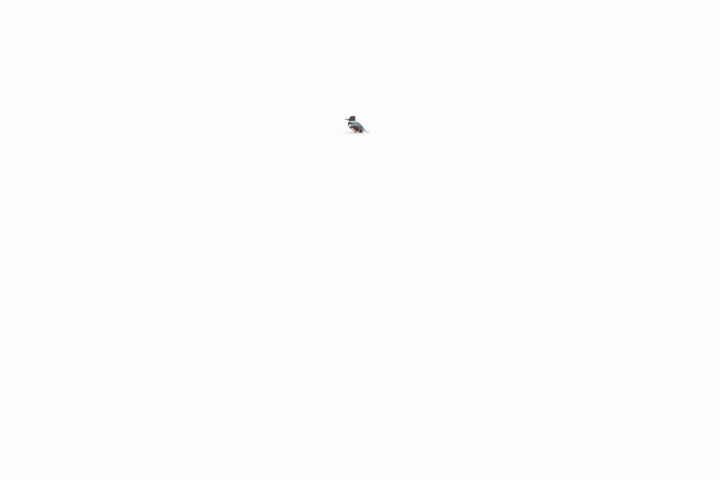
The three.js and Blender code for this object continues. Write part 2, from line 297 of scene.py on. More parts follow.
def dot(board, place, at, size):
    """1 inside an ellipse on the bird's side, given its middle and half sizes, fading at its edge."""
    side, behind, height = place
    across = (behind - at[0]) / size[0]
    up = (height - at[1]) / size[1]
    distance = board.math("SQRT", across * across + up * up)
    return board.step(1.15, 0.8, distance) * board.step(6, 9, side)


def wing_height(behind, height):
    """How far above the folded wing's line a place lies, in millimetres; numbers or wires."""
    rear = behind - (WRIST.y - EYE.y) / MM
    return rear * math.sin(WING_DROOP) + (height - WRIST.z / MM) * math.cos(WING_DROOP)


def wing_along(behind, height):
    """How far along the folded wing's line a place lies, in millimetres; numbers or wires."""
    rear = behind - (WRIST.y - EYE.y) / MM
    return rear * math.cos(WING_DROOP) - (height - WRIST.z / MM) * math.sin(WING_DROOP)


def plumage(board, point):
    """The markings of the whole bird at a point, the same for skin and coat."""
    tint = colours()
    side, behind, height = board.place(point)
    wobble = (board.noise(point, 260.0, 1.0) - 0.5) * 4.0
    b, h = behind + wobble, height + wobble

    collar_top = 123.5 + board.step(10, 30, b) * 1.5
    collar_low = 115 - board.step(8, 20, b) * 6 + board.step(34, 50, b) * 9
    below_head = board.step(1.2, -1.2, h - collar_top)
    chin = board.step(8, 5, side) * board.step(127, 124, h) * board.step(0, -8, b)
    below_collar = board.step(1.5, -1.5, h - collar_low)

    band_low = 72 + board.step(8, 24, side) * 19
    below_band = board.step(2, -2, h - band_low)
    back_low = board.most(91 - (b - 4.5) * 0.7, board.least(50, 46 - (b - 110)))
    on_back = board.step(-3, 1, h - back_low) * board.step(-4, 6, b)

    # The rufous band is broken in front and widens towards the flank, where it follows the wing down.
    grown = board.step(-8, 13, b)
    band = board.step(2, -2, abs(h - 58 - grown * 8) - (9 + grown * 9) * board.step(0, 20, side))
    band = band * board.step(34, 22, b) * board.step(5, 13, side)
    flank = board.step(-3, 3, b + h * 0.4 - 39) * board.step(62, 54, h) * board.step(94, 74, b)
    rust = board.most(band, flank * board.step(15, 22, side))

    slate = board.mix(board.noise(point, 90.0, 3.0), tint.slate, shaded(tint.slate, 0.6))
    back = board.mix(board.noise(point, 70.0, 3.0), tint.back, shaded(tint.back, 0.7))
    warm = board.mix(board.step(41, 55, h), tint.sand, tint.rufous)
    white = board.mix(board.noise(point, 60.0, 2.0) * 0.15, tint.white, shaded(tint.white, 0.8))

    under = board.mix(rust, white, warm)
    # The breast band: its own slate, taken half towards ink as painted shade beneath the head.
    band_and_painted_shade = board.mix(0.5, slate, tint.ink)
    body = board.mix(below_band, band_and_painted_shade, under)
    body = board.mix(board.step(12, 26, b), body, under)
    body = board.mix(on_back, body, back)
    body = board.mix(below_collar, white, body)
    lores = board.step(11, 3, abs(height - EYE_HEIGHT + 1.0) * 2.0)
    lores = lores * board.step(9, -2, behind) * board.step(6, 10, side)
    head = board.mix(lores * 0.8, slate, tint.ink)
    spot = board.most(
        dot(board, (side, behind, height), (-9.6, EYE_HEIGHT + 1.4), (2.0, 1.3)),
        dot(board, (side, behind, height), (1.2, EYE_HEIGHT - 6.9), (2.0, 0.9)),
    )
    head = board.mix(board.most(spot, chin), head, white)
    mouth = abs(height - (EYE_HEIGHT - 15.2) + (behind + 15) * 0.2)
    head = board.mix(board.step(1.2, 0.4, mouth) * board.step(-5, -9, behind), head, tint.ink)
    return board.mix(below_head, head, body)


def wing_tint(board, point):
    """The folded wing's colour at a point: pale over the shoulder, slate lower, black at its lower edge; its
    lower part is also darkened with painted shade where it turns down from the light.
    """
    tint = colours()
    _, behind, height = board.place(point)
    rise = wing_height(behind, height) + (board.noise(point, 120.0, 2.0) - 0.5) * 6
    along = wing_along(behind, height)
    pale = board.most(board.step(20, 44, rise) * 0.6, board.step(68, 80, height))
    slate = board.mix(pale, shaded(tint.back, 0.38), tint.back)
    # Below 80 mm the wing is taken towards ink: partly its own darker slate, partly painted shade where it
    # faces down.
    slate = board.mix(board.step(80, 64, height) * 0.45, slate, tint.ink)
    return board.mix(board.step(2, -6, rise) * board.step(14, 40, along), slate, tint.ink)


# Meshes


def deselect():
    if bpy.context.object and bpy.context.object.mode != "OBJECT":
        done()
    bpy.ops.object.select_all(action="DESELECT")


def only(piece):
    """Makes a piece the only selected object."""
    deselect()
    piece.select_set(True)
    bpy.context.view_layer.objects.active = piece
    return piece


def edit(action, kind="VERT"):
    """Goes into edit mode with all or none of the active piece's vertices or faces selected."""
    bpy.ops.object.mode_set(mode="EDIT")
    bpy.ops.mesh.select_mode(type=kind)
    bpy.ops.mesh.select_all(action=action)


def done():
    """Goes back from edit mode."""
    bpy.ops.object.mode_set(mode="OBJECT")


def joined(pieces):
    """Several objects joined into the last one."""
    deselect()
    for piece in pieces:
        piece.select_set(True)
    bpy.context.view_layer.objects.active = pieces[-1]
    bpy.ops.object.join()
    return bpy.context.object


def copied(nodes, name):
    """One new object from copies of CAD nodes, with the shared corners of its triangles merged."""
    copies = []
    for node in nodes:
        copy = bpy.data.objects.new(name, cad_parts[node].data.copy())
        bpy.context.collection.objects.link(copy)
        copies.append(copy)
    piece = joined(copies)
    piece.name = piece.data.name = name
    piece.data.materials.clear()
    edit("SELECT")
    bpy.ops.mesh.remove_doubles(threshold=1e-6)
    done()
    return piece


def modified(piece, kind, **settings):
    """Adds a modifier to a piece and applies it."""
    only(piece)
    modifier = piece.modifiers.new(kind.title(), kind)
    for key, value in settings.items():
        setattr(modifier, key, value)
    bpy.ops.object.modifier_apply(modifier=modifier.name)
    return piece


def trimmed(piece, place, normal):
    """Cuts away what lies on the side of a plane that its normal points to, and closes the cut."""
    only(piece)
    edit("SELECT")
    bpy.ops.mesh.bisect(plane_co=place, plane_no=normal, use_fill=True, clear_outer=True)
    done()
    return piece


def pick(piece, test):
    """Selects the vertices that a test of their place accepts, and no others, in edit mode."""
    only(piece)
    edit("DESELECT")
    done()
    for vertex in piece.data.vertices:
        vertex.select = bool(test(vertex.co))
    bpy.ops.object.mode_set(mode="EDIT")


def pick_face(piece, spot):
    """Selects the face of a piece nearest to a place, in edit mode."""
    edit("DESELECT", "FACE")
    done()
    min(piece.data.polygons, key=lambda face: (face.center - spot).length).select = True
    bpy.ops.object.mode_set(mode="EDIT")


def middle_of_picked(piece):
    """The middle of a piece's selected faces, read in edit mode."""
    piece.update_from_editmode()
    picked = [face.center for face in piece.data.polygons if face.select]
    return sum(picked, Vector()) / len(picked)


def smooth(piece, angle=180):
    """Smooth shading, broken where faces meet at more than an angle."""
    only(piece)
    bpy.ops.object.shade_smooth_by_angle(angle=math.radians(angle), keep_sharp_edges=False)
    return piece


def handed_in(piece, material, replaces=()):
    """Gives a finished piece its material, its body and the CAD nodes that it stands for."""
    piece.data.materials.clear()
    piece.data.materials.append(material)
    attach(piece, "root")
    if replaces:
        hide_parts(*replaces)
    return piece


def read(items, field, width=3, kind=np.float32):
    """One field of a mesh's items as an array, a row for each item."""
    flat = np.zeros(len(items) * width, kind)
    items.foreach_get(field, flat)
    return flat.reshape(-1, width)


def points_of(mesh):
    return read(mesh.vertices, "co").astype(float)


def normals_of(mesh):
    return read(mesh.vertex_normals, "vector").astype(float)


def move_points(mesh, points):
    mesh.vertices.foreach_set("co", np.ascontiguousarray(points, np.float32).ravel())
    mesh.update()


def tree_of(mesh):
    """A search tree over a mesh's surface."""
    faces = [tuple(face.vertices) for face in mesh.polygons]
    return BVHTree.FromPolygons([v.co for v in mesh.vertices], faces)


def solid_tree(nodes):
    """A search tree over CAD nodes."""
    guide = copied(nodes, "guide")
    tree = tree_of(guide.data)
    bpy.data.objects.remove(guide)
    return tree


def distances(tree, points):
    """How far each point is from a tree's surface, in metres."""
    return np.array([tree.find_nearest(Vector(point))[3] for point in points])


def unit(vectors):
    return vectors / np.maximum(np.linalg.norm(vectors, axis=-1, keepdims=True), 1e-9)


# Feathers


class Form:
    """What the steps share: the skin and its tree, a tree of the solid wings, and the wings' outer faces."""

    skin = None
    tree = None
    wing_guide = None
    wings = {}


class Face:
    """A folded wing's outer face and the back above it: how far out they lie over the wing's plane."""

    # a grid over the wing's plane: its cell in millimetres, its first corner and its count of cells
    CELL = 2
    LOW = np.array((-24, -30))
    CELLS = (98, 49)
    # rays start this far out; the body counts above this height on the wing, and ahead of this place along it
    START = 90
    BODY_FROM = 12

    def __init__(self, side):
        self.sign = SIDES[side]
        wing = solid_tree([f"wing_{side}", f"primaries_{side}"])
        body = solid_tree(["neck", "trunk", "rump"])
        reach = np.full(self.CELLS, np.nan)
        for cell in np.ndindex(*self.CELLS):
            along, up = self.LOW + np.array(cell) * self.CELL
            start = self.place(along, up, self.START * MM)
            hit, _, _, _ = wing.ray_cast(start, (-self.sign, 0, 0))
            if not hit and (up > self.BODY_FROM or along < self.BODY_FROM):
                hit, _, _, _ = body.ray_cast(start, (-self.sign, 0, 0))
            if hit:
                reach[cell] = abs(hit.x)
        from_top = np.argmax(~np.isnan(reach[:, ::-1]), axis=1)
        self.back = self.LOW[1] + self.CELL * (self.CELLS[1] - 1 - from_top)
        inner = ~np.isnan(self.around(reach).sum(axis=0))
        self.reach = np.where(inner, reach, np.nan)
        while np.isnan(self.reach).any():
            known = self.around(self.reach)
            count = (~np.isnan(known)).sum(axis=0)
            guess = np.nansum(known, axis=0) / np.maximum(count, 1)
            self.reach = np.where(np.isnan(self.reach) & (count > 0), guess, self.reach)
        for _ in range(6):
            self.reach = self.around(self.reach).mean(axis=0)

    @staticmethod
    def around(grid):
        """A grid and its eight neighbours, as nine grids."""
        wide = np.pad(grid, 1, mode="edge")
        rows, columns = grid.shape
        return np.array([wide[i : i + rows, j : j + columns] for i in range(3) for j in range(3)])

    def place(self, along, up, out):
        """A point from millimetres along and up the wing, and its distance from the bird's middle."""
        point = WRIST + WING_AXIS * (float(along) * MM) + WING_UP * (float(up) * MM)
        point.x = self.sign * out
        return point

    def back_line(self, along):
        """How far up the wing's plane the back ends, in millimetres, at a place along the wing."""
        return np.interp(along, self.LOW[0] + self.CELL * np.arange(self.CELLS[0]), self.back)

    def cling(self, points):
        """The same points, moved sideways onto the face."""
        off = points - np.array(WRIST)
        spot = np.stack([off @ np.array(WING_AXIS), off @ np.array(WING_UP)], axis=-1) / MM
        spot = np.clip((spot - self.LOW) / self.CELL, 0, np.array(self.CELLS) - 1.001)
        low = spot.astype(int)
        part = spot - low
        value = 0
        for i in (0, 1):
            for j in (0, 1):
                weight = abs(1 - i - part[..., 0]) * abs(1 - j - part[..., 1])
                value = value + weight * self.reach[low[..., 0] + i, low[..., 1] + j]
        moved = points.copy()
        moved[..., 0] = self.sign * value
        return moved


class Row:
    """Feathers of one make: lines over a surface, and their rise, half width and thickness."""

    def __init__(self, stops, normals, rise, half, thick=0.3 * MM):
        self.stops = stops
        self.normals = normals
        self.rise = rise
        self.half = half
        self.thick = np.broadcast_to(thick, len(stops))
        self.tint = np.zeros(len(stops))

    @staticmethod
    def together(rows):
        """Several rows as one."""
        parts = ("stops", "normals", "rise", "half")
        whole = Row(*(np.concatenate([getattr(row, part) for row in rows]) for part in parts))
        whole.thick = np.concatenate([row.thick for row in rows])
        whole.tint = np.concatenate([row.tint for row in rows])
        return whole


def vanes(name, row, uv, seed, columns=5, roundness=0.4, ragged=0.08, cup=0.12, hand=1, cling=None):
    """One mesh of many closed feathers, each a thin lens of a few columns from root to tip."""
    random = np.random.default_rng(seed)
    count, rows = row.half.shape
    across = unit(np.cross(unit(np.gradient(row.stops, axis=1)), row.normals))
    webs = np.linspace(-1, 1, columns)
    shares = np.linspace(0, 1, rows)
    reach = 1 - roundness * webs**2 - ragged * random.random((count, columns)) * (webs != 0)
    at = shares[None, :, None] * reach[:, None, :]
    low = np.minimum((at * (rows - 1)).astype(int), rows - 2)
    part = at * (rows - 1) - low
    each = np.arange(count)[:, None, None]

    def along(values):
        blend = part if values.ndim == 2 else part[..., None]
        return values[each, low] * (1 - blend) + values[each, low + 1] * blend

    wide, up = along(row.half), along(row.normals)
    swell = (1 - webs**2)[None, None] * (1 - (2 * shares - 1) ** 6)[None, :, None]
    swell = swell * row.thick[:, None, None] / 2
    middles = along(row.stops) + along(across) * (wide * webs)[..., None]
    middles = cling(middles) if cling else middles
    middles = middles + up * (along(row.rise) - cup * wide * webs**2)[..., None]
    top = middles + up * swell[..., None]
    under = (middles - up * swell[..., None])[:, 1:-1, 1:-1]
    points = np.concatenate([top.reshape(count, -1, 3), under.reshape(count, -1, 3)], axis=1)
    total = points.shape[1]

    upper = np.arange(rows * columns).reshape(rows, columns)
    lower = upper.copy()
    lower[1:-1, 1:-1] = rows * columns + np.arange((rows - 2) * (columns - 2)).reshape(rows - 2, -1)
    quads = [
        [grid[r, c], grid[r, c + 1], grid[r + 1, c + 1], grid[r + 1, c]][::turn]
        for grid, turn in ((upper, 1), (lower, -1))
        for r in range(rows - 1)
        for c in range(columns - 1)
    ]
    faces = (np.array(quads)[None] + (np.arange(count) * total)[:, None, None]).reshape(-1, 4)

    def spread(values):
        inner = values[:, 1:-1, 1:-1].reshape(count, -1)
        return np.concatenate([values.reshape(count, -1), inner], axis=1)

    length = spread(np.broadcast_to(at, (count, rows, columns)))
    width = spread(np.broadcast_to(webs[None, None], (count, rows, columns)))
    attributes = {
        "spot": np.repeat(row.stops[:, -2], total, axis=0),
        "tone": np.repeat(random.uniform(-1, 1, count), total),
        "tint": np.repeat(row.tint, total),
        "along": length.ravel(),
        "across": width.ravel() * hand,
    }
    base, size = uv(row.stops[:, 0])
    places = base[:, None, :] + np.stack([width + 1, length * 2], axis=2) * (size / 2)
    return built(name, points.reshape(-1, 3), faces, attributes, places.reshape(-1, 2))


def built(name, points, faces, attributes, places):
    """A new mesh object from arrays, with attributes on its points and a UV map."""
    mesh = bpy.data.meshes.new(name)
    mesh.from_pydata(points.tolist(), [], faces.tolist())
    for key, values in attributes.items():
        kind, field = ("FLOAT_VECTOR", "vector") if values.ndim == 2 else ("FLOAT", "value")
        layer = mesh.attributes.new(key, kind, "POINT")
        layer.data.foreach_set(field, np.ascontiguousarray(values, np.float32).ravel())
    corners = read(mesh.loops, "vertex_index", 1, np.int32)[:, 0]
    layer = mesh.uv_layers.new(name="OFBake")
    layer.data.foreach_set("uv", np.ascontiguousarray(places[corners], np.float32).ravel())
    piece = bpy.data.objects.new(name, mesh)
    bpy.context.collection.objects.link(piece)
    return smooth(piece, 50)


def tufts(centre, axis):
    """A map of small patches, each at its root's place on an unwrap of the skin round an axis."""
    axis = np.array(axis)

    def places(roots):
        off = roots - np.array(centre)
        along = off @ axis
        flat = off - along[:, None] * axis
        up = np.cross(axis, (1.0, 0, 0))
        turn = np.arctan2(flat[:, 0], flat @ up) / (2 * math.pi) + 0.5
        rise = 0.5 + 0.5 * along / np.linalg.norm(off, axis=1).max()
        return 0.005 + 0.985 * np.stack([turn, rise], axis=1), 0.003

    return places


def sheet(roots):
    """A map of even cells, one for each feather."""
    cells = math.ceil(math.sqrt(len(roots)))
    index = np.arange(len(roots))
    return (np.stack([index % cells, index // cells], axis=1) + 0.04) / cells, 0.92 / cells


def coat_depth(points):
    """How far the skin lies below the outline, in metres."""
    behind, height, _ = landmarks(points)
    size = sizes()
    depth = size.face_depth + (size.head_depth - size.face_depth) * ease(4, 22, from_gape(points))
    crest = ease(164, 172, height) * ease(-2, 16, behind) + ease(38, 46, behind) * ease(138, 152, height)
    depth = depth + (size.crest_depth - depth) * np.minimum(crest, 1)
    return depth + (size.body_depth - depth) * ease(132, 112, height)


def lie_at(point, normal):
    """The way the feathers lie: away from the bill on the head, round the eyes, and tailwards behind."""
    away = point - GAPE
    flow = away.normalized().lerp(BODY_AXIS, ease(24, 94, away.length / MM))
    off = point - eye_at(point.x)
    near = max(0, 1 - off.length / (11 * MM))
    flow = flow + off.normalized() * (near * 3.2)
    flow = flow - normal * flow.dot(normal)
    return flow.normalized() if flow.length > 1e-4 else Vector((0, 0, -1))


def scatter(mesh, spacing, keep, seed):
    """Evenly spread points on a mesh; spacing and keep are functions of an array of points."""
    random = np.random.default_rng(seed)
    points = points_of(mesh)
    mesh.calc_loop_triangles()
    a, b, c = (points[corner] for corner in read(mesh.loop_triangles, "vertices", 3, np.int32).T)
    areas = np.linalg.norm(np.cross(b - a, c - a), axis=1) / 2
    centres = (a + b + c) / 3
    gaps = spacing(centres)
    index = np.repeat(np.arange(len(a)), random.poisson(np.where(keep(centres), areas / gaps**2, 0) * 3.0))
    u, v = random.random(len(index)), random.random(len(index))
    flip = u + v > 1
    u[flip], v[flip] = 1 - u[flip], 1 - v[flip]
    spots = a[index] + (b - a)[index] * u[:, None] + (c - a)[index] * v[:, None]
    order = random.permutation(len(spots))
    spots, gaps = spots[order], gaps[index][order]
    keys = np.floor(spots / gaps.max()).astype(int)
    around = [(x, y, z) for x in (-1, 0, 1) for y in (-1, 0, 1) for z in (-1, 0, 1)]
    grid, kept = {}, []
    for i, (x, y, z) in enumerate(keys.tolist()):
        near = [j for dx, dy, dz in around for j in grid.get((x + dx, y + dy, z + dz), ())]
        if not near or ((spots[near] - spots[i]) ** 2).sum(axis=1).min() > gaps[i] ** 2:
            grid.setdefault((x, y, z), []).append(i)
            kept.append(i)
    return spots[kept]


def walked(roots, lengths, rows, lie, sway, free=1.0):
    """Lines over the skin from each root along the lie, straight on past the free share of their length."""
    stops, normals = [], []
    for root, length, turn in zip(roots, lengths, sway):
        place, normal, _, _ = Form.tree.find_nearest(Vector(root))
        line, ups = [place], [normal]
        step = length / (rows - 1)
        for row in range(1, rows):
            if row / (rows - 1) <= free or row == 1:
                heading = Matrix.Rotation(turn, 3, normal) @ lie(place, normal)
                place, normal, _, _ = Form.tree.find_nearest(place + heading * step)
            else:
                place = place + (line[-1] - line[-2]).normalized() * step
            line.append(place)
            ups.append(normal)
        stops.append(line)
        normals.append(ups)
    return np.array(stops, float), np.array(normals, float)


def wing_row(side, roots, tips, rise, half, thick, rows=8, bow=0.0):
    """Feathers on a folded wing's face between roots and tips, in millimetres along and up the wing."""
    shares = np.linspace(0, 1, rows)
    roots, tips = (np.array(ends, float)[:, None, :] for ends in (roots, tips))
    spots = roots + (tips - roots) * shares[:, None]
    spots[..., 1] += np.broadcast_to(bow, len(roots))[:, None] * np.sin(math.pi * shares)
    along, up = spots[..., :1] * MM, spots[..., 1:] * MM
    points = np.array(WRIST) + along * np.array(WING_AXIS) + up * np.array(WING_UP)
    normals = np.zeros_like(points)
    normals[..., 0] = SIDES[side]
    rise = np.broadcast_to(np.array(rise, float).reshape(len(points), -1) * MM, points.shape[:2])
    shape = np.interp(shares, (0, 0.2, 0.75, 1), (0.4, 0.9, 1, 0.7))
    half = np.array(half, float)[:, None] * MM * shape
    return Row(Form.wings[side].cling(points), normals, rise, half, thick * MM)


def plumage_material(name, streak=0.1, root=0.35):
    """Soft feathers that carry the bird's markings, darker along the shaft, with painted shade towards the
    root where the next feathers lie over it.
    """
    board = Board(name, 0.8, specular=0.2, sheen=0.12)
    colour = plumage(board, board.attribute("spot", "Vector"))
    tone, along, across = (board.attribute(key) for key in ("tone", "along", "across"))
    # Painted shade towards the root, where the next feathers cover it; the tone term darkens some feathers at
    # random.
    shade = board.step(0.7, 0.1, along) * root + board.step(0.1, -1.0, tone) * 0.12
    shaft = board.step(0.3, 0.05, abs(across)) * board.step(0.2, 0.6, along) * streak
    colour = board.mix(board.least(shade + shaft, 0.85), colour, (0.008, 0.01, 0.012))
    colour = board.mix(board.step(0.1, 1.0, tone) * 0.07, colour, (0.85, 0.86, 0.86))
    barbs = board.math("SINE", along * 70 - abs(across) * 16)
    board.bump(barbs, 0.00004, 0.5)
    return board.colour(colour)


class KINGFISHER_OT_stage(bpy.types.Operator):
    """Floor, soft light and the distant camera"""

    bl_idname = "kingfisher.stage"
    bl_label = "Stage"

    def execute(self, context):
        deselect()
        bpy.ops.mesh.primitive_plane_add(size=900)
        floor = context.object
        floor.name = "floor"
        board = Board("pale_floor", 0.9, specular=0.1)
        grain = board.noise(board.point(), 4.0, 2.0)
        floor.data.materials.append(board.colour(board.mix(grain * 0.3, paint("f4f4f3"), paint("ececeb"))))

        world = bpy.data.worlds.new("studio")
        world.use_nodes = True
        background = world.node_tree.nodes["Background"]
        background.inputs["Color"].default_value = (1, 1, 1, 1)
        background.inputs["Strength"].default_value = 0.6
        context.scene.world = world
        for name, strength, spread, turn in (
            ("key", 1.5, 30, (42, 0, 120)),
            ("fill", 0.5, 60, (55, 0, 20)),
            ("rim", 0.3, 50, (50, 0, -100)),
        ):
            light = bpy.data.lights.new(name, "SUN")
            light.energy = strength
            light.angle = math.radians(spread)
            lamp = bpy.data.objects.new(name, light)
            lamp.rotation_euler = [math.radians(angle) for angle in turn]
            context.collection.objects.link(lamp)
        context.scene.view_settings.view_transform = "Standard"
        self.camera(context)
        return {"FINISHED"}

    @staticmethod
    def camera(context):
        """A long lens far off on the bird's left, a little ahead; the bird is small, above the middle."""
        azimuth, elevation = math.radians(81), math.radians(4.5)
        width, aside, above = 7.56, 0.054, 1.125
        data = bpy.data.cameras.new("camera")
        data.lens = 300
        data.clip_start, data.clip_end = 1, 2000
        camera = bpy.data.objects.new("camera", data)
        context.collection.objects.link(camera)
        away = Vector((math.sin(azimuth), -math.cos(azimuth), math.tan(elevation))).normalized()
        right = Vector((0, 0, 1)).cross(away).normalized()
        feet = Vector((0, middle("foot_left").y, 0))
        aim = feet + right * aside - away.cross(right) * above
        camera.location = aim + away * (width * data.lens / data.sensor_width)
        camera.rotation_euler = away.to_track_quat("Z", "Y").to_euler()
        context.scene.camera = camera


class KINGFISHER_OT_skin(bpy.types.Operator):
    """One skin below the whole coat, in place of the solids of flesh"""

    bl_idname = "kingfisher.skin"
    bl_label = "Skin"

    # how far the bill and the tail reach into the skin, and the height at which the thighs end
    BILL_ROOT = 1.5 * MM
    TAIL_ROOT = 6 * MM
    THIGH_END = 13 * MM
    # the solids grow by this before they become one surface, which is then taken in again by the other
    GROWN = 0.3 * MM
    TAKEN_IN = 0.2 * MM

    def execute(self, context):
        size = sizes()
        wings = solid_tree(["wing_left", "wing_right"])
        Form.wings = {side: Face(side) for side in SIDES}
        eyes = copied(["eye_left", "eye_right"], "eyes")
        bill = copied(["bill_upper", "bill_lower"], "bill_root")
        trimmed(bill, GAPE + Vector((0, self.BILL_ROOT, 0)), (0, -1, 0))
        tail = copied(["tail"], "tail_root")
        trimmed(tail, (0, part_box("rump")[1].y - self.TAIL_ROOT, 0), (0, 1, 0))
        legs = copied(["leg_left", "leg_right"], "thighs")
        trimmed(legs, (0, 0, self.THIGH_END), (0, 0, -1))
        form = joined([eyes, bill, tail, legs, copied(FLESH, "skin")])
        modified(form, "DISPLACE", strength=self.GROWN, mid_level=0.0)
        modified(form, "REMESH", mode="VOXEL", voxel_size=size.skin_cell, adaptivity=0.0)
        modified(form, "SMOOTH", factor=0.5, iterations=6)
        outline = points_of(form.data) - normals_of(form.data) * self.TAKEN_IN
        move_points(form.data, outline)

        depth = coat_depth(outline)
        on_wings = (distances(wings, outline) < 1.2 * MM).astype(float)
        along = (outline - np.array(WRIST)) @ np.array(WING_AXIS) / MM
        wing_depth = size.wing_depth * (1 - 0.65 * ease(50, 105, along))
        depth = np.where(on_wings > 0, wing_depth, depth)
        for _ in range(5):
            depth = self.averaged(form.data, depth)
            on_wings = self.averaged(form.data, on_wings)
        move_points(form.data, outline - normals_of(form.data) * depth[:, None])
        modified(form, "SMOOTH", factor=0.5, iterations=2)
        layer = form.data.attributes.new("wing", "FLOAT", "POINT")
        layer.data.foreach_set("value", on_wings.astype(np.float32))
        smooth(form)

        board = Board("skin_under_feathers", 0.85, specular=0.2)
        point = board.point()
        shade = board.mix(board.attribute("wing"), plumage(board, point), wing_tint(board, point))
        # Painted shade: the skin is taken half towards black, for the shade deep between the feathers.
        shade = board.mix(0.5, shade, (0.015, 0.017, 0.02))
        board.bump(board.noise(point, 900.0, 2.0), 0.0004, 0.6)
        handed_in(form, board.colour(shade), FLESH)
        Form.skin = form
        Form.tree = tree_of(form.data)
        Form.wing_guide = wings
        return {"FINISHED"}

    @staticmethod
    def averaged(mesh, values):
        """Each point's value averaged with its neighbours'."""
        a, b = read(mesh.edges, "vertices", 2, np.int32).T
        total, share = values.copy(), np.ones(len(values))
        for one, other in ((a, b), (b, a)):
            np.add.at(total, one, values[other])
            np.add.at(share, one, 1)
        return total / share


def off_wing(points):
    """True where a point of the skin isn't on a folded wing."""
    clear = 2.2 * MM
    return distances(Form.wing_guide, points) > clear


def gap_to_eye(points):
    """How far each point is from the nearer eye's middle, in metres."""
    return np.minimum(*(np.linalg.norm(points - np.array(eye_at(sign)), axis=1) for sign in (1, -1)))


class KINGFISHER_OT_head_coat(bpy.types.Operator):
    """Short feathers of the face, crown, cheeks and throat"""

    bl_idname = "kingfisher.head_coat"
    bl_label = "Head coat"

    THROAT = 119  # the height in millimetres down to which the coat reaches
    FRONTALS = 72  # how many feathers ring the bill's base

    def execute(self, context):
        middle_z, tall, wide = self.bill_base()

        def grown(points):
            by_eye = 0.3 + 0.7 * ease(5.5, 13, gap_to_eye(points) / MM)
            return ease(3, 34, from_gape(points)) * by_eye

        def keep(points):
            behind, height, _ = landmarks(points)
            inside = (points[:, 0] / wide) ** 2 + ((points[:, 2] - middle_z) / tall) ** 2 < 0.8
            mouth = (behind < -14.5) & inside
            return (height > self.THROAT) & (gap_to_eye(points) > EYE_RADIUS * 0.9) & ~mouth

        roots = scatter(Form.skin.data, lambda p: (0.75 + 0.75 * grown(p)) * MM, keep, 12)
        random = np.random.default_rng(11)
        size = grown(roots)
        lengths = (2.4 + 6.2 * size) * MM * random.uniform(0.85, 1.15, len(roots))
        stops, normals = walked(roots, lengths, 4, lie_at, random.normal(0, 0.12, len(roots)))
        depth = coat_depth(roots) * random.uniform(0.8, 1.12, len(roots))
        rise = depth[:, None] * np.array([[-0.15, 0.45, 0.8, 1.0]])
        half = (0.5 + 0.75 * size)[:, None] * MM * np.array([[0.5, 0.95, 1.0, 0.6]])
        row = Row.together([Row(stops, normals, rise, half, 0.14 * MM), self.frontal()])
        centre = Vector((0, EYE.y + 16 * MM, EYE.z))
        coat = vanes("head_coat", row, tufts(centre, (0, 1, 0)), 13, ragged=0.2)
        handed_in(coat, plumage_material("head_feathers", 0.2))
        return {"FINISHED"}

    @staticmethod
    def bill_base():
        """The middle height, half height and half width of the bill where it leaves the face."""
        top, _, wide = section(solid_tree(["bill_upper"]), GAPE.y)
        _, bottom, _ = section(solid_tree(["bill_lower"]), GAPE.y)
        return (top + bottom) / 2, (top - bottom) / 2, wide

    def frontal(self):
        """Tiny feathers that point forward from the face over the bill's base."""
        random = np.random.default_rng(14)
        middle_z, tall, wide_base = self.bill_base()
        count = self.FRONTALS
        turns = np.linspace(0, 2 * math.pi, count + 1)[:-1] + random.uniform(-0.03, 0.03, count)
        out = np.stack([np.cos(turns) * wide_base, np.zeros(count), np.sin(turns) * tall], axis=1)
        shares = np.linspace(0, 1, 4)[None, :, None]
        wide = 1.12 - 0.18 * shares
        forward = np.array((0, -1, 0)) * (2.4 + 1.6 * random.random((count, 1, 1))) * MM * shares
        stops = np.array((0, GAPE.y + 0.7 * MM, middle_z)) + out[:, None, :] * wide + forward
        normals = unit(out / np.array((wide_base**2, 1, tall**2)))[:, None, :] * np.ones((1, 4, 1))
        rise = np.array([[-0.2, 0.3, 0.35, 0.15]]) * MM * np.ones((count, 1))
        half = np.array([[0.35, 0.6, 0.55, 0.3]]) * MM * np.ones((count, 1))
        return Row(stops, normals, rise, half, 0.12 * MM)


class KINGFISHER_OT_crest(bpy.types.Operator):
    """Long narrow feathers of the ragged crest"""

    bl_idname = "kingfisher.crest"
    bl_label = "Crest"

    @staticmethod
    def crown():
        """Places along the crest's ridge."""
        return EYE.y + np.arange(-4, 47, 1.5) * MM

    def execute(self, context):
        def keep(points):
            behind, height, _ = landmarks(points)
            return (height > 158 - 0.42 * behind) & (behind > -8) & (height > 136)

        def sweep(point, normal):
            behind = (point.y - EYE.y) / MM
            flow = Vector((0, 1, 0.10 - 0.006 * behind + (point.z - 160 * MM) * 9))
            flow = flow - normal * flow.dot(normal) * 0.9
            return flow.normalized()

        roots = scatter(Form.skin.data, lambda p: np.full(len(p), 1.7 * MM), keep, 51)
        random = np.random.default_rng(52)
        over = [Vector((x * MM, y, 1)) for x in (-0.7, 0.7) for y in self.crown()]
        ridge = [Form.tree.ray_cast(start, (0, 0, -1))[0] for start in over]
        roots = np.concatenate([roots, np.array(ridge)])
        behind = landmarks(roots)[0]
        lengths = (11 + 9 * ease(-5, 25, behind) - 7 * ease(30, 46, behind)) * MM
        lengths = lengths * random.uniform(0.8, 1.15, len(roots))
        stops, normals = walked(roots, lengths, 6, sweep, random.normal(0, 0.07, len(roots)), free=0.6)
        depth = coat_depth(roots) * random.uniform(0.75, 1.1, len(roots))
        rise = depth[:, None] * np.array([[-0.15, 0.3, 0.6, 0.8, 0.9, 0.95]])
        half = random.uniform(0.9, 1.25, len(roots))[:, None] * MM
        half = half * np.array([[0.5, 1.0, 1.0, 0.85, 0.6, 0.15]])
        row = Row(stops, normals, rise, half, 0.25 * MM)
        centre = Vector((0, EYE.y + 20 * MM, EYE.z))
        crest = vanes("crest_plumes", row, tufts(centre, (0, 1, 0)), 53, roundness=0.3, ragged=0.15)
        handed_in(crest, plumage_material("crest_feathers", 0.45))
        return {"FINISHED"}


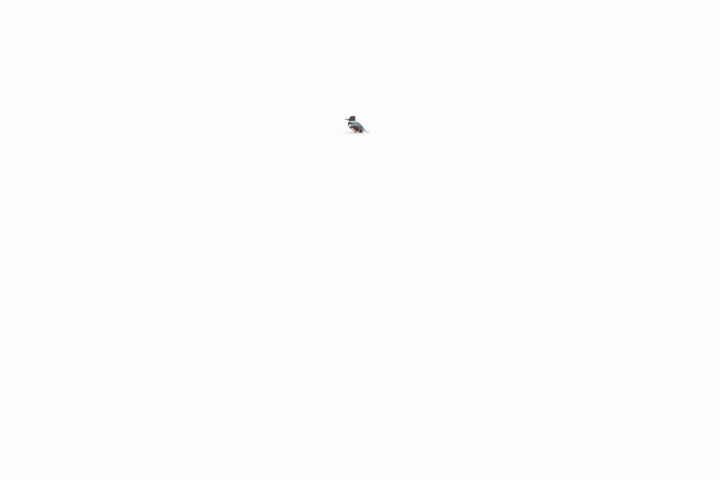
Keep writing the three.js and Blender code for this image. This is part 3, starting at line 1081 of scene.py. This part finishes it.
class KINGFISHER_OT_body_coat(bpy.types.Operator):
    """Soft feathers of collar, breast, belly, back and rump"""

    bl_idname = "kingfisher.body_coat"
    bl_label = "Body coat"

    # name, slot, spacing, length, half width, raggedness, shaft streak, painted shade at the root
    ZONES = (
        ("collar_coat", "white_feathers", 1.45, 9, 1.35, 0.3, 0.02, 0.07),
        ("breast_coat", "breast_feathers", 1.6, 11, 1.55, 0.3, 0.08, 0.12),
        ("belly_coat", "white_feathers", 1.8, 14, 1.8, 0.35, 0.02, 0.06),
        ("back_coat", "back_feathers", 2.2, 14, 2.9, 0.06, 0.35, 0.3),
    )

    # the coat ends this far before the rump does
    RUMP_END = 14 * MM
    # a feather whose tip would stand farther than this off the skin is left out
    STRAY = 2.6 * MM

    @staticmethod
    def zone(points):
        """Which zone each point is in, as an index into ZONES."""
        behind, height, _ = landmarks(points)
        back = height >= 128 - 0.75 * (behind + 10)
        low = height < 62 - 0.2 * behind
        collar = (height > 108) & ~((behind > 30) & (height < 122))
        return np.select([collar, back, low], [0, 3, 2], 1)

    def execute(self, context):
        centre = Vector((0, EYE.y + 50 * MM, 70 * MM))
        rump_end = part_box("rump")[1].y - self.RUMP_END
        for index, (name, slot, gap, length, half, ragged, streak, dark) in enumerate(self.ZONES):
            random = np.random.default_rng(20 + index)

            def keep(points, index=index):
                height = landmarks(points)[1]
                ahead = points[:, 1] < rump_end
                return ahead & (height < 123) & (self.zone(points) == index) & off_wing(points)

            def growth(points):
                behind, height, _ = landmarks(points)
                return ease(124, 92, height) * 0.75 + ease(60, 130, behind) * 0.25

            roots = scatter(Form.skin.data, lambda p: gap * (0.85 + 0.3 * growth(p)) * MM, keep, 30 + index)
            size = 0.8 + 0.4 * growth(roots)
            lengths = length * size * MM * random.uniform(0.85, 1.15, len(roots))
            sway = random.normal(0, 0.12, len(roots))
            stops, normals = walked(roots, lengths, 5, lie_at, sway, free=0.5)
            depth = coat_depth(roots) * random.uniform(0.8, 1.06, len(roots))
            lying = distances(Form.tree, stops[:, -1]) < self.STRAY
            rise = depth[lying, None] * np.array([[-0.12, 0.3, 0.62, 0.85, 1.0]])
            wide = half * size[lying, None] * MM * np.array([[0.45, 0.85, 1.0, 1.0, 0.65]])
            row = Row(stops[lying], normals[lying], rise, wide, 0.2 * MM)
            coat = vanes(name, row, tufts(centre, BODY_AXIS), 40 + index, ragged=ragged)
            handed_in(coat, plumage_material(name.replace("coat", "feathers"), streak, dark))
        return {"FINISHED"}


class KINGFISHER_OT_breast_sides(bpy.types.Operator):
    """Feathers of the breast's sides, which lie over the bend of the folded wing"""

    bl_idname = "kingfisher.breast_sides"
    bl_label = "Breast sides"

    # the wing's front edge: how far up the wing, and how far along it
    UPS = (-9, -4, 0, 12.8, 20, 30, 37, 42.5)
    ALONGS = (16, 0, -9, -5, 0, 10, 20, 30)

    def execute(self, context):
        material = plumage_material("breast_side_feathers", 0.06, 0.2)
        for side in SIDES:
            random = np.random.default_rng(61)
            rows = []
            even = np.arange(-10, 36, 2.6)
            count = len(even)
            for line in range(4):
                ups = even + 1.3 * (line % 2) + random.uniform(-0.6, 0.6, count)
                edge = np.interp(ups, self.UPS, self.ALONGS) + 3 * line - 6
                roots = np.stack([edge - 7, ups - 1], axis=1)
                tips = np.stack([edge + 5 + random.uniform(-1.5, 1.5, count), ups * 0.97 - 1.5], axis=1)
                rise = np.linspace(-1.8, 0.9 + 0.35 * line, 6) * np.ones((count, 1))
                rows.append(wing_row(side, roots, tips, rise, [2.2] * count, 0.2, rows=6))
            shape = {"cup": 0.0, "ragged": 0.25, "cling": Form.wings[side].cling}
            coat = vanes(f"breast_sides_{side}", Row.together(rows), sheet, 62, **shape)
            handed_in(coat, material)
        return {"FINISHED"}


def low_edge(along):
    """The folded wing's lower edge, in millimetres up the wing, at a place along it."""
    share = min(1, max(0, (along + WING_FRONT) / (WING_LENGTH + WING_FRONT)))
    sag = WING_SAG * max(0, math.sin(math.pi * share**2.2)) ** 1.6
    return -WING_EDGE * max(0, math.sin(math.pi * share**0.75)) ** 0.7 - sag


def high_edge(along):
    """The folded wing's upper edge before its tips begin."""
    return 52 * math.sin(math.pi / 2 * min(1, max(0.02, (along + WING_FRONT) / 80))) ** 0.55


def wing_board(name, specular=0.35):
    """A board for wing feathers, with the wires that all of them read."""
    board = Board(name, 0.55, specular=specular)
    wires = [board.attribute(key) for key in ("tone", "along", "across")]
    barbs = board.math("SINE", wires[1] * 190 - abs(wires[2]) * 30)
    board.bump(barbs, 0.00005, 0.5)
    return (board, *wires)


def covert_material():
    """Coverts: the wing's tint, a thin black shaft, a pale fringe and, on some, a small white spot."""
    board, tone, along, across = wing_board("covert_feathers")
    tint = colours()
    colour = wing_tint(board, board.attribute("spot", "Vector"))
    # Painted shade towards the root, under the next coverts.
    colour = board.mix(board.step(0.8, 0.1, along) * 0.5, colour, tint.ink)
    colour = board.mix(board.step(0.0, -1.0, tone) * 0.22, colour, tint.ink)
    fringe = board.step(0.55, 1.0, abs(across)) * board.step(0.3, 0.8, along) * 0.2
    colour = board.mix(fringe, colour, tint.back)
    shaft = board.step(0.12, 0.03, abs(across)) * board.step(0.97, 0.8, along)
    colour = board.mix(shaft * board.step(-0.8, 0.8, tone) * 0.6, colour, tint.ink)
    spot = board.step(0.32, 0.12, abs(across)) * board.step(0.9, 0.95, along) * board.step(0.55, 0.8, tone)
    return board.colour(board.mix(spot * 0.5, colour, tint.white))


def secondary_material():
    """Secondaries: slate outer web, black inner web and shaft, thin white tip; the tertials all slate."""
    board, tone, along, across = wing_board("secondary_feathers")
    tint = colours()
    pale, dark = (shaded(tint.back, share) for share in (0.52, 0.34))
    slate = board.mix(board.step(-1.0, 1.0, tone), dark, pale)
    inner = board.step(-0.1, 0.4, across) * (1 - board.attribute("tint"))
    colour = board.mix(inner, slate, tint.ink)
    colour = board.mix(board.step(0.1, 0.03, abs(across)) * 0.8, colour, tint.ink)
    edge = board.step(-0.86, -0.97, across) * 0.08
    tip = board.step(0.955, 0.98, along) * board.step(-0.6, 1.0, tone) * 0.25
    return board.colour(board.mix(board.most(tip, edge), colour, tint.white))


def primary_material():
    """Primaries: black, with a white patch by their bases, small white spots and pale tips."""
    board, tone, along, across = wing_board("primary_feathers")
    _, behind, height = board.place(board.point())
    up = wing_height(behind, height)
    down = wing_along(behind, height)
    fray = across * 4 + tone * 5
    patch = board.step(9, 5, abs(down + fray - 98)) * board.step(10, 5, abs(up + 9))
    patch = patch * board.step(0.05, 0.16, abs(across)) * board.step(0.98, 0.85, abs(across))
    wave = board.math("SINE", along * 62 + tone * 2.2)
    spots = board.step(0.6, 0.85, wave) * board.step(-0.35, -0.6, across)
    spots = spots * board.step(106, 112, down) * board.step(134, 124, down) * 0.2
    tip = board.step(0.98, 0.992, along) * 0.25
    black = board.mix(board.step(-1.0, 1.0, tone) * 0.4, colours().ink, (0.02, 0.022, 0.025))
    mark = board.most(board.most(spots, patch * 0.45), tip)
    return board.colour(board.mix(mark, black, colours().white))


class KINGFISHER_OT_wings(bpy.types.Operator):
    """Primaries, secondaries, coverts and shoulder feathers of both folded wings"""

    bl_idname = "kingfisher.wings"
    bl_label = "Wings"

    def execute(self, context):
        materials = primary_material(), secondary_material(), covert_material()
        for side in SIDES:
            random = np.random.default_rng(70)
            shape = {"columns": 7, "cup": 0.0, "hand": -SIDES[side], "cling": Form.wings[side].cling}
            flight = self.primaries(side)
            name = f"primary_feathers_{side}"
            flight = vanes(name, flight, sheet, 71, roundness=0.25, ragged=0.01, **shape)
            handed_in(flight, materials[0], [f"primaries_{side}"])
            inner = self.secondaries(side)
            name = f"secondary_feathers_{side}"
            inner = vanes(name, inner, sheet, 72, roundness=0.2, ragged=0.02, **shape)
            handed_in(inner, materials[1])
            rows = [*self.greater(side), *self.lesser(side, random), *self.shoulder(side, random)]
            name = f"covert_feathers_{side}"
            coverts = vanes(name, Row.together(rows), sheet, 73, roundness=0.34, ragged=0.05, **shape)
            handed_in(coverts, materials[2])
        return {"FINISHED"}

    @staticmethod
    def primaries(side):
        """Ten long feathers, the outermost lowest, whose tips step back from the wing's point."""
        tips = [(141, -4.2), (151, -1.8)]
        tips += [(155.5 - 4.3 * k, 0.4 + 2.45 * k) for k in range(8)]
        roots = [(52 + 1.5 * k, -9 + 3.3 * k) for k in range(len(tips))]
        rise = [-1.9 + 0.09 * k for k in range(len(tips))]
        half = [3.8, 4.4] + [5.0] * 8
        bow = np.linspace(-16.0, -1.0, len(tips))
        return wing_row(side, roots, tips, rise, half, 0.22, rows=14, bow=bow)

    @staticmethod
    def secondaries(side):
        """Twelve broader feathers above the primaries, the innermost four the tertials on top."""
        shares = np.linspace(0, 1, 12)
        tips = [(124 - 23 * t + 5 * math.sin(math.pi * t), 17 + 32 * t) for t in shares]
        roots = [(50 - 22 * t, 1 + 40 * t) for t in shares]
        rise = (-0.7 + 0.2 * np.arange(12))[:, None] + 0.8 * np.outer(1 - shares, ease(0.35, 0.75, shares))
        row = wing_row(side, roots, tips, rise, [4.8] * 12, 0.22, rows=12)
        row.tint = ease(0.6, 0.7, shares)
        return row

    @staticmethod
    def greater(side):
        """Alula and primary coverts along the lower edge, then the greater and median coverts."""
        first = [((44, -9 + 2.4 * k), (90 - 1.5 * k, low_edge(90) + 4 + 4.0 * k)) for k in range(6)]
        ends = (60, 67, 74)
        alula = [((22 + 6 * k, low_edge(24) + 5 + k), (end, low_edge(end) + 4)) for k, end in enumerate(ends)]
        shares = np.linspace(0, 1, 11)
        great = [((44 - 22 * t, 1 + 41 * t), (86 - 14 * t, 4 + 42 * t)) for t in shares]
        median = [((36 - 18 * t, 0 + 40 * t), (65 - 12 * t, 0 + 45 * t)) for t in shares]
        rows = []
        # the lines, the rise at root and tip, and the half width
        makes = (
            (first, -1.4, -0.5, 3.8),
            (great, -0.6, 1.4, 4.2),
            (alula, -0.9, 0.2, 3.6),
            (median, -0.6, 1.9, 4.1),
        )
        for lines, low, high, half in makes:
            roots, tips = zip(*lines)
            rise = np.linspace(low, high, 8) + 0.05 * np.arange(len(lines))[:, None]
            rows.append(wing_row(side, roots, tips, rise, [half] * len(lines), 0.3))
        return rows

    @staticmethod
    def lesser(side, random):
        """Small shingled coverts from the wrist back."""
        rows = []
        for line in range(8):
            tip_at = 52 - 6.3 * line
            low, high = low_edge(tip_at) + 1, high_edge(tip_at) - 1
            count = max(3, round((high - low) / 4.6))
            ups = np.linspace(low, high, count) + (line % 2) * 2.3
            tips = [(tip_at + random.uniform(-1.8, 1.8), up + random.uniform(-0.7, 0.7)) for up in ups]
            roots = [(along - 15, up * 0.93 - 0.5 + random.uniform(-1, 1)) for along, up in tips]
            rise = np.linspace(-0.9, 2.0, 8) * np.ones((count, 1))
            rows.append(wing_row(side, roots, tips, rise, [3.5] * count, 0.25))
        return rows

    @staticmethod
    def shoulder(side, random):
        """Broad feathers rooted on the back, whose tips close the wing's upper edge."""
        rows = []
        back = Form.wings[side].back_line
        for line, (above, below) in enumerate(((-2, 15), (2, 10), (6, 5))):
            starts = np.arange(-4 + 2 * line, 78, 4.6)
            roots = [(along, min(high_edge(along) + above, back(along) - 7)) for along in starts]
            ends = starts + 24 + random.uniform(-1.5, 1.5, len(starts))
            tips = [(along, high_edge(along) - below - 0.9 * max(0, along - 88)) for along in ends]
            rise = np.linspace(-2.6, 2.4 + 0.3 * line, 8) * np.ones((len(starts), 1))
            rows.append(wing_row(side, roots, tips, rise, [4.1] * len(starts), 0.25))
        return rows


class KINGFISHER_OT_tail(bpy.types.Operator):
    """Twelve tail feathers, the middle pair on top, and the coverts over their bases"""

    bl_idname = "kingfisher.tail"
    bl_label = "Tail"

    PAIRS = 6
    STOPS = 14  # places along each feather where its line is read from the solid tail

    def execute(self, context):
        tree = solid_tree(["tail"])
        low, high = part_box("tail")
        rows = self.STOPS
        shares = np.linspace(0, 1, rows)
        stops, rise, half = [], [], []
        for pair in range(self.PAIRS):
            for sign in (1, -1):
                root_x, tip_x = (0.8 + 0.9 * pair) * sign, (2.2 + 2.35 * pair) * sign
                end = high.y - (0.3 + 0.16 * pair * pair) * MM
                start = low.y + 1 * MM
                ys = np.linspace(start, end, rows)
                line = []
                for share, y in zip(shares, ys):
                    x = (root_x + (tip_x - root_x) * share) * MM
                    hit, _, _, _ = tree.ray_cast(Vector((x, y, 0.3)), (0, 0, -1))
                    line.append((x, y, hit.z if hit else line[-1][2] - 0.4 * MM))
                stops.append(line)
                rise.append([-0.32 * pair - (0.12 if sign < 0 else 0) + 0.25] * rows)
                half.append(np.interp(shares, (0, 0.3, 0.85, 1), (2.6, 3.4, 4.1, 3.2)))
        stops = np.array(stops)
        pairs = stops.reshape(self.PAIRS, 2, rows, 3)
        slope = np.gradient(pairs[..., 2], axis=0) / np.gradient(pairs[..., 0], axis=0)
        across = np.ones((len(stops), rows, 3)) * (1.0, 0.0, 0.0)
        across[..., 2] = slope.reshape(len(stops), rows)
        tangent = unit(np.gradient(stops, axis=1))
        normals = unit(np.cross(across, tangent))
        row = Row(stops, normals, np.array(rise) * MM, np.array(half) * MM, 0.3 * MM)
        tail = vanes("tail_feathers", row, sheet, 81, columns=7, roundness=0.12, ragged=0.01, cup=0.02)
        points = points_of(tail.data)
        points[:, 2] = np.maximum(points[:, 2], 0.1 * MM)
        move_points(tail.data, points)
        handed_in(tail, self.material(), ["tail"])

        self.coverts(stops[0], normals[0], (high.y - low.y) / MM)
        return {"FINISHED"}

    @staticmethod
    def coverts(line, normals, length):
        """Short feathers over and under the tail's base, along its middle line."""
        random = np.random.default_rng(82)
        base = (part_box("rump")[1].y - line[0, 1]) / MM
        stops, ups, rise = [], [], []
        shares = np.linspace(0, 1, len(line))
        for face, reach, out in ((1, 17, 1.1), (1, 10, 1.5), (-1, 18, 0.9), (-1, 10, 1.2)):
            for spread in np.linspace(-1, 1, 7):
                start = base - 20 + random.uniform(-1, 1)
                end = base + reach * (1 - 0.25 * abs(spread)) + random.uniform(-1, 1)
                at = (start + (end - start) * np.linspace(0, 1, 6)) / length
                place = np.stack([np.interp(at, shares, line[:, axis]) for axis in range(3)], axis=1)
                place[:, 0] = np.linspace(3.5, 7.5, 6) * spread * MM
                normal = np.stack([np.interp(at, shares, normals[:, axis]) for axis in range(3)], axis=1)
                stops.append(place)
                ups.append(normal * face)
                rise.append(np.linspace(-1.0, out - 0.12 * abs(spread), 6))
        half = 3.0 * MM * np.array([0.45, 0.85, 1.0, 1.0, 0.95, 0.6]) * np.ones((len(stops), 1))
        row = Row(np.array(stops), np.array(ups), np.array(rise) * MM, half, 0.2 * MM)
        coverts = vanes("tail_coverts", row, sheet, 84, roundness=0.35, ragged=0.1)
        handed_in(coverts, plumage_material("tail_covert_feathers", 0.3, 0.2))

    @staticmethod
    def material():
        """Slate middle feathers with a black shaft, black outer ones barred with white."""
        board, _, along, across = wing_board("tail_feathers", 0.1)
        spot = board.attribute("spot", "Vector")
        side, _, _ = board.place(spot)
        left = Wire(board, board.node("ShaderNodeSeparateXYZ", Vector=spot).outputs[0])
        outward = across * board.math("SIGN", left)
        outer = board.step(4, 5, side)
        tint = colours()
        slate = board.mix(board.step(0.2, 0.06, abs(across)), tint.back, tint.ink)
        slate = board.mix(0.5, slate, tint.ink)
        black = board.mix(0.12, tint.ink, tint.slate)
        bars = board.step(0.5, 0.8, board.math("SINE", along * 75)) * board.step(0.2, 0.45, abs(across))
        spots = board.step(0.75, 0.95, board.math("SINE", along * 60)) * board.step(0.7, 0.85, abs(across))
        tip = board.step(0.97, 0.985, along)
        bars = bars * outer * board.step(0.1, -0.1, outward)
        mark = board.most(board.most(bars * 0.45, spots * 0.2), tip * 0.3)
        return board.colour(board.mix(mark, board.mix(outer, slate, black), tint.white))


def section(tree, y):
    """A CAD solid's top, bottom and half width where it crosses a plane, in metres."""
    top = tree.ray_cast(Vector((0, y, 1)), (0, 0, -1))[0].z
    bottom = tree.ray_cast(Vector((0, y, -1)), (0, 0, 1))[0].z
    side = tree.ray_cast(Vector((1, y, (top + bottom) / 2)), (-1, 0, 0))[0].x
    return top, bottom, side


class KINGFISHER_OT_bill(bpy.types.Operator):
    """Dagger bill of two mandibles, with slit nostrils and flat cutting edges"""

    bl_idname = "kingfisher.bill"
    bl_label = "Bill"

    # where a mandible's sections are taken, as shares of its length from the face to the point
    SECTIONS = (0.004, 0.1, 0.2, 0.28, 0.36, 0.46, 0.57, 0.68, 0.79, 0.88, 0.95, 0.99)
    RING = 20  # corners of a section
    # the nostril's place in millimetres: out to the side, ahead of the bill's root and above the gape
    NOSTRIL = (5, 15.5, 7)

    def execute(self, context):
        for name, edge in (("bill_upper", -1), ("bill_lower", 1)):
            mandible = self.mandible(name, edge)
            handed_in(mandible, self.material(name), [name])
        return {"FINISHED"}

    def mandible(self, name, edge):
        """One mandible: a ring with one flat side, drawn out section by section to the point."""
        tree = solid_tree([name])
        low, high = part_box(name)
        ys = high.y - (high.y - low.y) * np.array(self.SECTIONS)
        rings = [section(tree, y) for y in ys]
        top, bottom, side = rings[0]
        middle_z = (top + bottom) / 2
        deselect()
        bpy.ops.mesh.primitive_circle_add(
            vertices=self.RING,
            radius=1,
            fill_type="NGON",
            location=(0, ys[0], middle_z),
            rotation=(math.pi / 2, 0, 0),
        )
        piece = bpy.context.object
        piece.name = piece.data.name = name + "_horn"
        bpy.ops.object.transform_apply()
        edit("SELECT")
        bpy.ops.transform.resize(value=(side, 1, (top - bottom) / 2), center_override=(0, ys[0], middle_z))
        flat = (bottom if edge < 0 else top) + 0.3 * MM * edge
        pick(piece, lambda place: (place.z - middle_z) * edge > -0.1 * MM)
        bpy.ops.transform.resize(value=(1, 1, 0.06), center_override=(0, ys[0], flat))
        bpy.ops.mesh.select_all(action="SELECT")
        for before, after, y0, y1 in zip(rings, rings[1:], ys, ys[1:]):
            rise = (after[0] + after[1] - before[0] - before[1]) / 2
            bpy.ops.mesh.extrude_region_move(TRANSFORM_OT_translate={"value": (0, y1 - y0, rise)})
            bpy.ops.transform.resize(
                value=(after[2] / before[2], 1, (after[0] - after[1]) / (before[0] - before[1])),
                center_override=(0, y1, (after[0] + after[1]) / 2),
            )
        done()
        if edge < 0:
            out, ahead, above = self.NOSTRIL
            for sign in (1, -1):
                pick_face(piece, Vector((sign * out * MM, high.y - ahead * MM, GAPE.z + above * MM)))
                bpy.ops.mesh.inset(thickness=0.45 * MM, depth=0)
                bpy.ops.transform.resize(value=(1, 1, 0.5), center_override=middle_of_picked(piece))
                bpy.ops.mesh.extrude_region_move(TRANSFORM_OT_translate={"value": (-sign * 0.8 * MM, 0, 0)})
                done()
        return smooth(modified(piece, "SUBSURF", levels=2, render_levels=2), 60)

    @staticmethod
    def material(name):
        """Dark horn with fine streaks along it, paler at the base of the lower mandible."""
        board = Board(name + "_horn", 0.45, coat=0.05, specular=0.22)
        point = board.point()
        stretched = board.node("ShaderNodeMapping", Vector=point, Scale=(1, 0.08, 1)).outputs[0]
        grain = board.noise(stretched, 1800.0, 3.0)
        _, behind, _ = board.place(point)
        base = board.step(-34, -17, behind) * (0.14 if name == "bill_lower" else 0.04)
        colour = board.mix(base, colours().horn, paint("8d8a86"))
        colour = board.mix(grain * 0.35, colour, shaded(colours().horn, 0.4))
        board.bump(grain, 0.0001, 0.5)
        return board.colour(colour)


class KINGFISHER_OT_eyes(bpy.types.Operator):
    """Dark brown eyes with a wet shine, and the lids round them"""

    bl_idname = "kingfisher.eyes"
    bl_label = "Eyes"

    # in millimetres: how deep the ball lies below its solid's place, and where the face's slope is read
    SUNK = 1.7
    SLOPE_READ = 8
    # in millimetres: how far before the ball's middle the lid lies, its radius and half its thickness
    LID_AHEAD = 4.4
    LID_RADIUS = 4.05
    LID_HALF = 0.45

    def execute(self, context):
        lid_material = self.lid_material()
        for side, sign in SIDES.items():
            centre = eye_at(sign)
            turns = np.linspace(0, 2 * math.pi, 9)[:-1]
            ring = [Vector((0, math.cos(a), math.sin(a))) * self.SLOPE_READ * MM for a in turns]
            outside = centre + Vector((sign * 4 * MM, 0, 0))
            looks = [Form.tree.find_nearest(outside + off)[1] for off in ring]
            axis = sum(looks, Vector()).normalized()
            centre = centre - axis * (self.SUNK * MM)
            ball = self.ball(side, centre, axis)
            handed_in(ball, self.eye_material(side, centre, axis), [f"eye_{side}"])
            handed_in(self.lid(side, centre, axis), lid_material)
        return {"FINISHED"}

    @staticmethod
    def ball(side, centre, axis):
        deselect()
        turn = axis.to_track_quat("Z", "Y").to_euler()
        bpy.ops.mesh.primitive_uv_sphere_add(
            segments=48, ring_count=32, radius=EYE_RADIUS, location=centre, rotation=turn
        )
        ball = bpy.context.object
        ball.name = ball.data.name = f"eyeball_{side}"
        bpy.ops.object.transform_apply()
        return smooth(ball)

    def lid(self, side, centre, axis):
        """A thin ring of bare skin, a little longer than it is high."""
        deselect()
        turn = axis.to_track_quat("Z", "Y").to_euler()
        bpy.ops.mesh.primitive_torus_add(
            major_segments=56,
            minor_segments=12,
            major_radius=self.LID_RADIUS * MM,
            minor_radius=self.LID_HALF * MM,
            location=centre + axis * self.LID_AHEAD * MM,
            rotation=turn,
        )
        lid = bpy.context.object
        lid.name = lid.data.name = f"eyelid_{side}"
        bpy.ops.object.transform_apply()
        edit("SELECT")
        bpy.ops.transform.resize(value=(1, 1.03, 0.97), center_override=centre)
        done()
        return smooth(lid)

    @staticmethod
    def eye_material(side, centre, axis):
        """Black pupil in a dark brown iris, under a wet cornea."""
        board = Board(f"eye_{side}", 0.3, coat=0.35, specular=0.03)
        point = board.point()
        kind = "ShaderNodeVectorMath"
        off = board.node(kind, {"operation": "SUBTRACT"}, i0=point, i1=tuple(centre)).outputs[0]
        along = board.node(kind, {"operation": "DOT_PRODUCT"}, i0=off, i1=tuple(axis)).outputs[1]
        share = Wire(board, along) / EYE_RADIUS
        iris = board.mix(board.noise(point, 2500.0, 3.0), paint("0e0805"), paint("1d110b"))
        iris = board.mix(board.step(0.82, 0.76, share), iris, paint("070504"))
        return board.colour(board.mix(board.step(0.885, 0.90, share), iris, (0.001, 0.001, 0.001)))

    @staticmethod
    def lid_material():
        board = Board("eyelid_skin", 0.6, specular=0.2)
        grain = board.noise(board.point(), 2600.0, 2.0)
        board.bump(grain, 0.0002, 0.7)
        return board.colour(board.mix(grain, paint("0f1214"), paint("23282c")))


class KINGFISHER_OT_feet(bpy.types.Operator):
    """Scaled shanks and toes, and the claws"""

    bl_idname = "kingfisher.feet"
    bl_label = "Feet"

    # in millimetres: where the toes part, out to the side and behind the middle; and the shank's top
    PAD = (15, -15.3)
    SHANK_TOP = 15
    # in millimetres: the heights between which toe turns to shank, and the spacing of their scales
    TOE_TOP = (5.5, 3.5)
    TOE_SCALE = 1.5
    SHANK_SCALE = 1.6

    def execute(self, context):
        material = self.skin_material()
        for side in SIDES:
            foot = copied([f"leg_{side}", f"foot_{side}"], f"foot_skin_{side}")
            trimmed(foot, (0, 0, self.SHANK_TOP * MM), (0, 0, 1))
            modified(foot, "DISPLACE", strength=0.25 * MM, mid_level=0.0)
            modified(foot, "REMESH", mode="VOXEL", voxel_size=0.42 * MM, adaptivity=0.0)
            modified(foot, "SMOOTH", factor=0.5, iterations=3)
            points, normals = points_of(foot.data), normals_of(foot.data)
            on_toe = ease(*self.TOE_TOP, points[:, 2] / MM)
            rings = points[:, 1] / MM / self.TOE_SCALE, points[:, 2] / MM / self.SHANK_SCALE
            ring = np.where(on_toe > 0.5, *rings) * 2 * math.pi
            upper = np.where(on_toe > 0.5, ease(-0.1, 0.4, normals[:, 2]), ease(0.4, -0.2, normals[:, 1]))
            scute = (np.abs(np.sin(ring / 2)) ** 0.5 - 0.8) * 0.22 * upper
            furrow = 0.8 * self.furrows(side, points) * on_toe
            points = points + normals * ((scute - 0.12 - furrow) * MM)[:, None]
            points[:, 2] = np.maximum(points[:, 2], 0)
            move_points(foot.data, points)
            handed_in(smooth(foot), material, [f"leg_{side}", f"foot_{side}"])
            nodes = [f"claw_{toe}_{side}" for toe in (1, 2, 3, 4)]
            claws = copied(nodes, f"claws_{side}")
            modified(claws, "SUBSURF", levels=1, render_levels=1)
            handed_in(smooth(claws), self.claw_material(), nodes)
        return {"FINISHED"}

    def furrows(self, side, points):
        """1 along the lines that part the three front toes, 0 on the toes and behind them."""
        pad = np.array((self.PAD[0] * SIDES[side], self.PAD[1])) * MM
        spots = points[:, :2] - pad
        gaps = []
        for toe in (1, 2, 3):
            line = np.array(middle(f"claw_{toe}_{side}")[:2]) - pad
            share = np.clip(spots @ line / (line @ line), 0, 1)
            gaps.append(np.linalg.norm(spots - share[:, None] * line, axis=1) / MM)
        gaps = np.sort(gaps, axis=0)
        return ease(0.8, 0.0, gaps[1] - gaps[0]) * ease(2, 6, -spots[:, 1] / MM)

    @staticmethod
    def skin_material():
        """Dusky scaly skin, darker on the toes."""
        board = Board("foot_skin", 0.55, specular=0.4)
        point = board.point()
        settings = {"feature": "DISTANCE_TO_EDGE"}
        cells = board.node("ShaderNodeTexVoronoi", settings, Vector=point, Scale=1500.0)
        edge = Wire(board, cells.outputs["Distance"])
        _, _, height = board.place(point)
        foot = colours().foot
        colour = board.mix(board.step(2, 12, height) * 0.5, shaded(foot, 0.55), foot)
        colour = board.mix(board.step(0.12, 0.0, edge) * 0.45, colour, shaded(foot, 0.3))
        board.bump(board.step(0.0, 0.2, edge), 0.0001, 0.5)
        return board.colour(colour)

    @staticmethod
    def claw_material():
        board = Board("claw_horn", 0.3, coat=0.2)
        grain = board.noise(board.point(), 1500.0, 2.0)
        return board.colour(board.mix(grain * 0.5, shaded(colours().horn, 0.6), colours().horn))


OPERATORS = (
    KINGFISHER_OT_stage,
    KINGFISHER_OT_skin,
    KINGFISHER_OT_head_coat,
    KINGFISHER_OT_crest,
    KINGFISHER_OT_body_coat,
    KINGFISHER_OT_wings,
    KINGFISHER_OT_breast_sides,
    KINGFISHER_OT_tail,
    KINGFISHER_OT_bill,
    KINGFISHER_OT_eyes,
    KINGFISHER_OT_feet,
)


class KINGFISHER_PT_panel(bpy.types.Panel):
    """The steps that make the bird, in order"""

    bl_idname = "KINGFISHER_PT_panel"
    bl_label = "Kingfisher"
    bl_space_type = "VIEW_3D"
    bl_region_type = "UI"
    bl_category = "Kingfisher"

    def draw(self, context):
        for operator in OPERATORS:
            self.layout.operator(operator.bl_idname)
        for group in (sizes(), colours()):
            for name in group.__annotations__:
                self.layout.prop(group, name)


CLASSES = (Sizes, Colours, *OPERATORS, KINGFISHER_PT_panel)


def register():
    for cls in CLASSES:
        bpy.utils.register_class(cls)
    bpy.types.Scene.kingfisher_sizes = bpy.props.PointerProperty(type=Sizes)
    bpy.types.Scene.kingfisher_colours = bpy.props.PointerProperty(type=Colours)


def unregister():
    del bpy.types.Scene.kingfisher_sizes
    del bpy.types.Scene.kingfisher_colours
    for cls in reversed(CLASSES):
        bpy.utils.unregister_class(cls)


def main():
    """Makes the bird step by step."""
    register()
    for operator in OPERATORS:
        family, name = operator.bl_idname.split(".")
        getattr(getattr(bpy.ops, family), name)()


if __name__ == "__main__":
    main()
